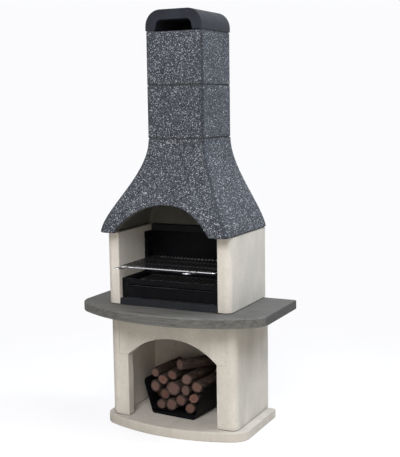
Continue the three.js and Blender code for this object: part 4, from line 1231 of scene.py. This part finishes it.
def make_row_tree(name):
    """A row of straight wires of one length, side by side at one pitch."""
    nodes, given = shape_tree(name, {
        "Count": 25, "Pitch": (GRATE_PITCH, 0.0, 0.0), "Start": (0.0, 0.0, 0.0), "Run": (0.0, 0.3, 0.0),
        **WIRE_INPUTS,
    })
    line = nodes.add("GeometryNodeCurvePrimitiveLine", {"Start": (0.0, 0.0, 0.0), "End": given["Run"]})
    places = nodes.add("GeometryNodeMeshLine", {
        "Count": given["Count"], "Start Location": given["Start"], "Offset": given["Pitch"],
    }, mode="OFFSET")
    wire = wire_along(nodes, line, given)
    spread = nodes.add("GeometryNodeInstanceOnPoints", {"Points": places, "Instance": wire})
    return finished_wire(nodes, spread, given)


def make_bent_tree(name):
    """A wire bent along the curve that it is given."""
    nodes, given = shape_tree(name, {"Curve": "Geometry", "Steps": HANDLE_STEPS, **WIRE_INPUTS})
    even = nodes.add("GeometryNodeResampleCurve", {"Curve": given["Curve"], "Count": given["Steps"]})
    return finished_wire(nodes, wire_along(nodes, even, given), given)


def handle_path(node, height):
    """The curve of a loop handle that reaches forward from the grate and rises towards its end."""
    low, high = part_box(node)
    middle = (low.x + high.x) / 2
    half = (high.x - low.x) / 2 - HANDLE_ROD
    left = [(-across, along) for across, along in HANDLE_SHARES]
    right = list(reversed(HANDLE_SHARES[:-1]))
    curve = bpy.data.curves.new(f"{node}_path", "CURVE")
    curve.dimensions = "3D"
    spline = curve.splines.new("BEZIER")
    spline.bezier_points.add(len(left) + len(right) - 1)
    for point, (across, along) in zip(spline.bezier_points, left + right):
        reach, rise = along * HANDLE_REACH, along ** 2 * HANDLE_RISE
        point.co = (middle + across * half, high.y - reach, height + rise)
        point.handle_left_type = point.handle_right_type = "AUTO"
    return curve


class BARBECUE_OT_grate(bpy.types.Operator):
    """Bends the frame and the handles of the cooking grate, and lays its bars and ties."""

    bl_idname = "barbecue.grate"
    bl_label = "Cooking grate"

    def execute(self, context):
        wire = {"Sides": context.scene.barbecue.metal.wire_sides, "Finish": finish("bright_chrome")}
        low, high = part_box("grate_frame")
        width, depth = high.x - low.x - 2 * FRAME_ROD, high.y - low.y - 2 * FRAME_ROD
        height = (low.z + high.z) / 2
        shaped_piece("grate_frame", "wire", make_ring_tree, "Wire ring", {
            "Width": width, "Depth": depth, "Corner": FRAME_CORNER, "Radius": FRAME_ROD,
            "Place": (0.0, (low.y + high.y) / 2, height), **wire,
        })

        bar_low, bar_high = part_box("grate_bars")
        bar_height = bar_high.z - GRATE_BAR
        end = bar_high.x
        outer = math.floor((end - GRATE_BAR) / GRATE_PITCH)
        bars = shaped_by(make_row_tree, "Wire row", "grate_bars_wire", {
            "Count": 2 * outer + 1, "Pitch": (GRATE_PITCH, 0.0, 0.0), "Radius": GRATE_BAR,
            "Start": (-outer * GRATE_PITCH, bar_low.y, bar_height),
            "Run": (0.0, bar_high.y - bar_low.y, 0.0), **wire,
        })
        tie_height = bar_height - GRATE_BAR - GRATE_TIE + WELD_DEPTH
        pitch = depth / (GRATE_TIES + 1)
        ties = shaped_by(make_row_tree, "Wire row", "grate_ties_wire", {
            "Count": GRATE_TIES, "Pitch": (0.0, pitch, 0.0), "Radius": GRATE_TIE,
            "Start": (-end, low.y + FRAME_ROD + pitch, tie_height), "Run": (2 * end, 0.0, 0.0), **wire,
        })
        shape = bmesh.new()
        for mesh in (bars, ties):
            shape.from_mesh(mesh)
        # The bars and the ties are marked for the darker, duller chrome
        used = shape.faces.layers.float.new("used")
        for face in shape.faces:
            face[used] = 1.0
        shape.to_mesh(bars)
        shape.free()
        stand_for("grate_bars", new_piece("grate_bars_wire", bars))

        wire["Radius"] = HANDLE_ROD
        for node in ("grate_handle_left", "grate_handle_right"):
            path = handle_path(node, height)
            shaped_piece(node, "wire", make_bent_tree, "Bent wire", wire, path)
        return {"FINISHED"}


# Logs

BASKET_TURN = math.radians(-5)
TOP_LOG_TURN = math.radians(-35)
BARK_SHARE = 0.16
SAW_SLOPE = 0.0022
END_POWER = 10.0
FLATTEST = 0.2
# Steps from log to log in its noise, the turn and the share of its flat side, and its tone
NOISE_STEP = 7.31
LEAN_STEP = 1.7
FLATNESS_STEP = 0.61
TONE_STEP = 0.377


def make_log_tree(name):
    """A log with furrowed bark, an oval uneven girth and sawn ends, at its place in the pile."""
    nodes, given = shape_tree(name, {
        "Radius": 0.03, "Length": 0.25, "Bark Depth": 0.003, "Taper": 0.05, "Seed": 0.0,
        "Place": (0.0, 0.0, 0.0), "Turn": (0.0, 0.0, 0.0), "Bark": "Material", "Cut": "Material",
    })
    radius, seed = given["Radius"], given["Seed"]
    drum = nodes.add("GeometryNodeMeshCylinder", {
        "Vertices": 48, "Side Segments": 26, "Fill Segments": 6, "Radius": radius, "Depth": given["Length"],
    }, fill_type="TRIANGLE_FAN")
    x, y, z = nodes.split(nodes.add("GeometryNodeInputPosition"))
    round_x, round_y = x / radius, y / radius

    def uneven(around, along, scale, detail, roughness, share):
        """Noise that closes round the log, by how fast it changes around it and along it."""
        down = nodes.math("MULTIPLY_ADD", z, along, seed * NOISE_STEP)
        place = nodes.combine(round_x * around, round_y * around, down)
        return nodes.spread(nodes.noise(place, scale, detail, roughness), 0.3, 0.7, 0.0, share)

    lobes = uneven(1.0, 4.0, 0.9, 1.0, 0.55, share=0.6)
    ridges = uneven(4.0, 14.0, 1.6, 3.0, 0.6, share=0.4)
    inward = (lobes + ridges) * given["Bark Depth"] / radius
    along = z / given["Length"] + 0.5
    girth = (1.0 - along * given["Taper"]) * (1.0 - inward)
    lean = seed * LEAN_STEP
    flat_side = round_x * nodes.math("COSINE", lean) + round_y * nodes.math("SINE", lean)
    flatness = nodes.math("FRACT", seed * FLATNESS_STEP) * FLATTEST
    girth = girth * (1.0 - flat_side * flat_side * flatness)
    by_end = nodes.math("POWER", abs(along * 2.0 - 1.0), END_POWER)
    cut_back = (round_x + 1.0) * SAW_SLOPE * by_end * nodes.math("SIGN", z)
    rim = nodes.length(nodes.combine(x, y, 0.0)) / radius
    shaped = nodes.add("GeometryNodeSetPosition", {
        "Geometry": stored_on(nodes, drum, "log_rim", rim),
        "Position": nodes.combine(x * girth, y * girth, z - cut_back),
    })
    placed_by = nodes.add("GeometryNodeInputPosition")
    kept = stored_on(nodes, shaped, "log_place", placed_by, "FLOAT_VECTOR")
    kept = stored_on(nodes, kept, "log_tone", nodes.math("FRACT", seed * TONE_STEP))
    barked = nodes.add("GeometryNodeSetMaterial", {"Geometry": kept, "Material": given["Bark"]})
    is_end = nodes.math("MAXIMUM", drum["Top"], drum["Bottom"])
    sawn = nodes.add("GeometryNodeSetMaterial", {
        "Geometry": barked, "Selection": is_end, "Material": given["Cut"],
    })
    smooth = nodes.add("GeometryNodeSetShadeSmooth", {"Geometry": sawn}, domain="FACE")
    flat = nodes.add("GeometryNodeSetShadeSmooth", {
        "Geometry": smooth, "Selection": is_end, "Shade Smooth": False,
    }, domain="FACE")
    placed = nodes.add("GeometryNodeTransform", {
        "Geometry": flat, "Translation": given["Place"], "Rotation": given["Turn"],
    })
    return nodes.give(Mesh=nodes.add("GeometryNodeRealizeInstances", {"Geometry": placed}))


class BARBECUE_OT_logs(bpy.types.Operator):
    """Shapes the logs of the pile from one rule, each with its own size and seed."""

    bl_idname = "barbecue.logs"
    bl_label = "Logs"

    def execute(self, context):
        settings = context.scene.barbecue.wood
        for number in range(1, LOG_COUNT + 1):
            node = f"log_{number:02d}"
            turn = TOP_LOG_TURN if number == LOG_COUNT else BASKET_TURN
            low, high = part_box(node)
            radius = (high.z - low.z) / 2
            length = (high.y - low.y - 2 * radius * abs(math.sin(turn))) / math.cos(turn)
            shaped_piece(node, "wood", make_log_tree, "Log", {
                "Radius": radius, "Length": length, "Taper": settings.taper,
                "Bark Depth": min(settings.bark_depth, radius * BARK_SHARE),
                "Seed": float(settings.seed + number), "Place": (low + high) / 2,
                "Turn": (-math.pi / 2, 0.0, turn), "Bark": finish("bark"), "Cut": finish("cut_wood"),
            })
        return {"FINISHED"}


# Stage

# Camera that was fitted to the photograph: focal length and image size in pixels
PHOTO_HEIGHT = 457
PHOTO_FOCAL = 912.835
CAMERA_PLACE = (2.10254, -4.01870, 1.63723)
CAMERA_AZIMUTH = 0.459017
CAMERA_PITCH = 0.134740
CAMERA_ROLL = -0.0144277
SENSOR_SIZE = 36.0
LAMP_TARGET = Vector((0.0, 0.0, 1.0))
LAMP_DISTANCE = 5.0
LAMP_SIZE = 2.4
# Lamps: turn from the front to the right and height, in degrees, and colour
LAMPS = {
    "key": (15, 38, (0.955, 0.965, 0.98)),
    "side": (80, 64, (1.0, 0.95, 0.87)),
    "rear": (112, 46, (0.74, 0.86, 1.0)),
    "low": (34, 8, (1.0, 0.9, 0.74)),
    "back": (235, 18, (0.95, 0.97, 1.0)),
}
FLOOR_RADIUS = 30.0
FLOOR_DROP = 0.0005
FLOOR_GLOW = 0.745
FLOOR_FADE = (0.9, 2.2)


def studio_rays(nodes):
    """1 for rays that see the background straight, in a mirror or through glass."""
    path = nodes.add("ShaderNodeLightPath")
    seen = nodes.math("MAXIMUM", path["Is Camera Ray"], path["Is Glossy Ray"])
    return nodes.math("MAXIMUM", seen, path["Is Transmission Ray"])


def mixed(nodes, share, first, second):
    """A shader between two shaders."""
    return nodes.add("ShaderNodeMixShader", {"Fac": share, 1: first, 2: second})


def direction(turn, height):
    """The way outward at a turn from the front to the right and a height, in radians."""
    return Vector((math.sin(turn) * math.cos(height), -math.cos(turn) * math.cos(height), math.sin(height)))


def soft_lamp(name, turn, height, power, colour):
    """A round soft lamp, by its turn from the front to the right and its height, in degrees."""
    lamp = bpy.data.lights.new(name, "AREA")
    lamp.shape = "DISK"
    lamp.size = LAMP_SIZE
    lamp.energy = power
    lamp.color = colour
    holder = bpy.data.objects.new(name, lamp)
    bpy.context.scene.collection.objects.link(holder)
    toward = direction(math.radians(turn), math.radians(height))
    place = Matrix.Translation(LAMP_TARGET + LAMP_DISTANCE * toward)
    holder.matrix_world = place @ toward.to_track_quat("Z", "Y").to_matrix().to_4x4()
    return holder


def make_floor(settings):
    """Pale floor that fades into the background and keeps the shadow of what stands on it."""
    nodes = MaterialNodes("pale_floor", roughness=0.9, specular=0.1)
    tone = nodes.noise(nodes.place, 3.0, 3.0)
    colour = nodes.blend(tone, (0.3, 0.3, 0.305), (0.32, 0.32, 0.325))
    nodes.put(nodes.shader.node.inputs["Base Color"], colour)
    glow = nodes.add("ShaderNodeEmission", {"Color": settings.background})
    lit = nodes.add("ShaderNodeEmission", {"Color": settings.background, "Strength": FLOOR_GLOW})
    near = nodes.add("ShaderNodeAddShader", {0: nodes.shader, 1: lit})
    seen = mixed(nodes, nodes.spread(nodes.length(nodes.place), *FLOOR_FADE), near, glow)
    plain = nodes.add("ShaderNodeBsdfDiffuse", {"Color": (0.8, 0.765, 0.71)})
    nodes.put(nodes.result.node.inputs["Surface"], mixed(nodes, studio_rays(nodes), plain, seen))
    return nodes.material


def make_world(settings):
    """Dim even light from all round, brighter from above, and the background."""
    world = bpy.data.worlds.new("studio")
    world.use_nodes = True
    world.node_tree.nodes.clear()
    nodes = Nodes(world.node_tree)
    up = nodes.split(nodes.add("ShaderNodeTexCoord")["Generated"])[2]
    level = nodes.spread(up, -1.0, 1.0, 0.5, 1.5) * settings.sky
    light = nodes.add("ShaderNodeBackground", {"Color": (0.97, 0.985, 1.0), "Strength": level})
    seen = nodes.add("ShaderNodeBackground", {"Color": settings.background, "Strength": 1.0})
    nodes.add("ShaderNodeOutputWorld", {"Surface": mixed(nodes, studio_rays(nodes), light, seen)})
    return world


def photo_camera():
    """The camera of the photograph."""
    camera = bpy.data.cameras.new("photo_camera")
    camera.sensor_width = SENSOR_SIZE
    camera.lens = PHOTO_FOCAL * SENSOR_SIZE / PHOTO_HEIGHT
    camera.clip_start = 0.05
    camera.clip_end = 100.0
    holder = bpy.data.objects.new("photo_camera", camera)
    bpy.context.scene.collection.objects.link(holder)
    ahead = -direction(CAMERA_AZIMUTH, CAMERA_PITCH)
    level = Vector((math.cos(CAMERA_AZIMUTH), math.sin(CAMERA_AZIMUTH), 0.0))
    upward = level.cross(ahead)
    right = math.cos(CAMERA_ROLL) * level + math.sin(CAMERA_ROLL) * upward
    over = -math.sin(CAMERA_ROLL) * level + math.cos(CAMERA_ROLL) * upward
    turned = Matrix((right, over, -ahead)).transposed().to_4x4()
    holder.matrix_world = Matrix.Translation(CAMERA_PLACE) @ turned
    return holder


class BARBECUE_OT_stage(bpy.types.Operator):
    """Lays the floor, sets the lamps and the sky, and stands the camera where the photograph's was."""

    bl_idname = "barbecue.stage"
    bl_label = "Stage"

    def execute(self, context):
        scene = context.scene
        settings = scene.barbecue.stage
        shape = bmesh.new()
        bmesh.ops.create_circle(shape, cap_ends=True, radius=FLOOR_RADIUS, segments=64)
        for vertex in shape.verts:
            vertex.co.z = -FLOOR_DROP
        new_piece("floor", mesh_of(shape, "floor"), make_floor(settings))
        scene.world = make_world(settings)
        for name, (turn, height, colour) in LAMPS.items():
            lamp = soft_lamp(f"{name}_lamp", turn, height, getattr(settings, name), colour)
            # The worktop would mirror the lamp behind
            lamp.visible_glossy = name != "back"
        scene.view_settings.view_transform = "Standard"
        scene.camera = photo_camera()
        return {"FINISHED"}


# Panel, registration and run

OPERATORS = (
    BARBECUE_OT_walls, BARBECUE_OT_joints, BARBECUE_OT_hood, BARBECUE_OT_chimney, BARBECUE_OT_pebbles,
    BARBECUE_OT_fire_set, BARBECUE_OT_grate, BARBECUE_OT_basket, BARBECUE_OT_logs, BARBECUE_OT_stage,
)


class BARBECUE_PT_panel(bpy.types.Panel):
    """Lists the pieces of the barbecue and their sizes and colours."""

    bl_idname = "BARBECUE_PT_panel"
    bl_label = "Barbecue"
    bl_space_type = "VIEW_3D"
    bl_region_type = "UI"
    bl_category = "Barbecue"

    def draw(self, context):
        settings = context.scene.barbecue
        for family in ("masonry", "hood", "metal", "wood", "stage"):
            box = self.layout.box()
            box.label(text=family.capitalize())
            group = getattr(settings, family)
            for name in group.__annotations__:
                box.prop(group, name)
        for operator in OPERATORS:
            self.layout.operator(operator.bl_idname)


CLASSES = (
    MasonrySettings, HoodSettings, MetalSettings, WoodSettings, StageSettings, BarbecueSettings,
    *OPERATORS, BARBECUE_PT_panel,
)


def register():
    for cls in CLASSES:
        bpy.utils.register_class(cls)
    bpy.types.Scene.barbecue = PointerProperty(type=BarbecueSettings)


def unregister():
    del bpy.types.Scene.barbecue
    for cls in reversed(CLASSES):
        bpy.utils.unregister_class(cls)


def main():
    register()
    for operator in OPERATORS:
        family, name = operator.bl_idname.split(".")
        getattr(getattr(bpy.ops, family), name)()
    bpy.context.view_layer.update()


if __name__ == "__main__":
    main()
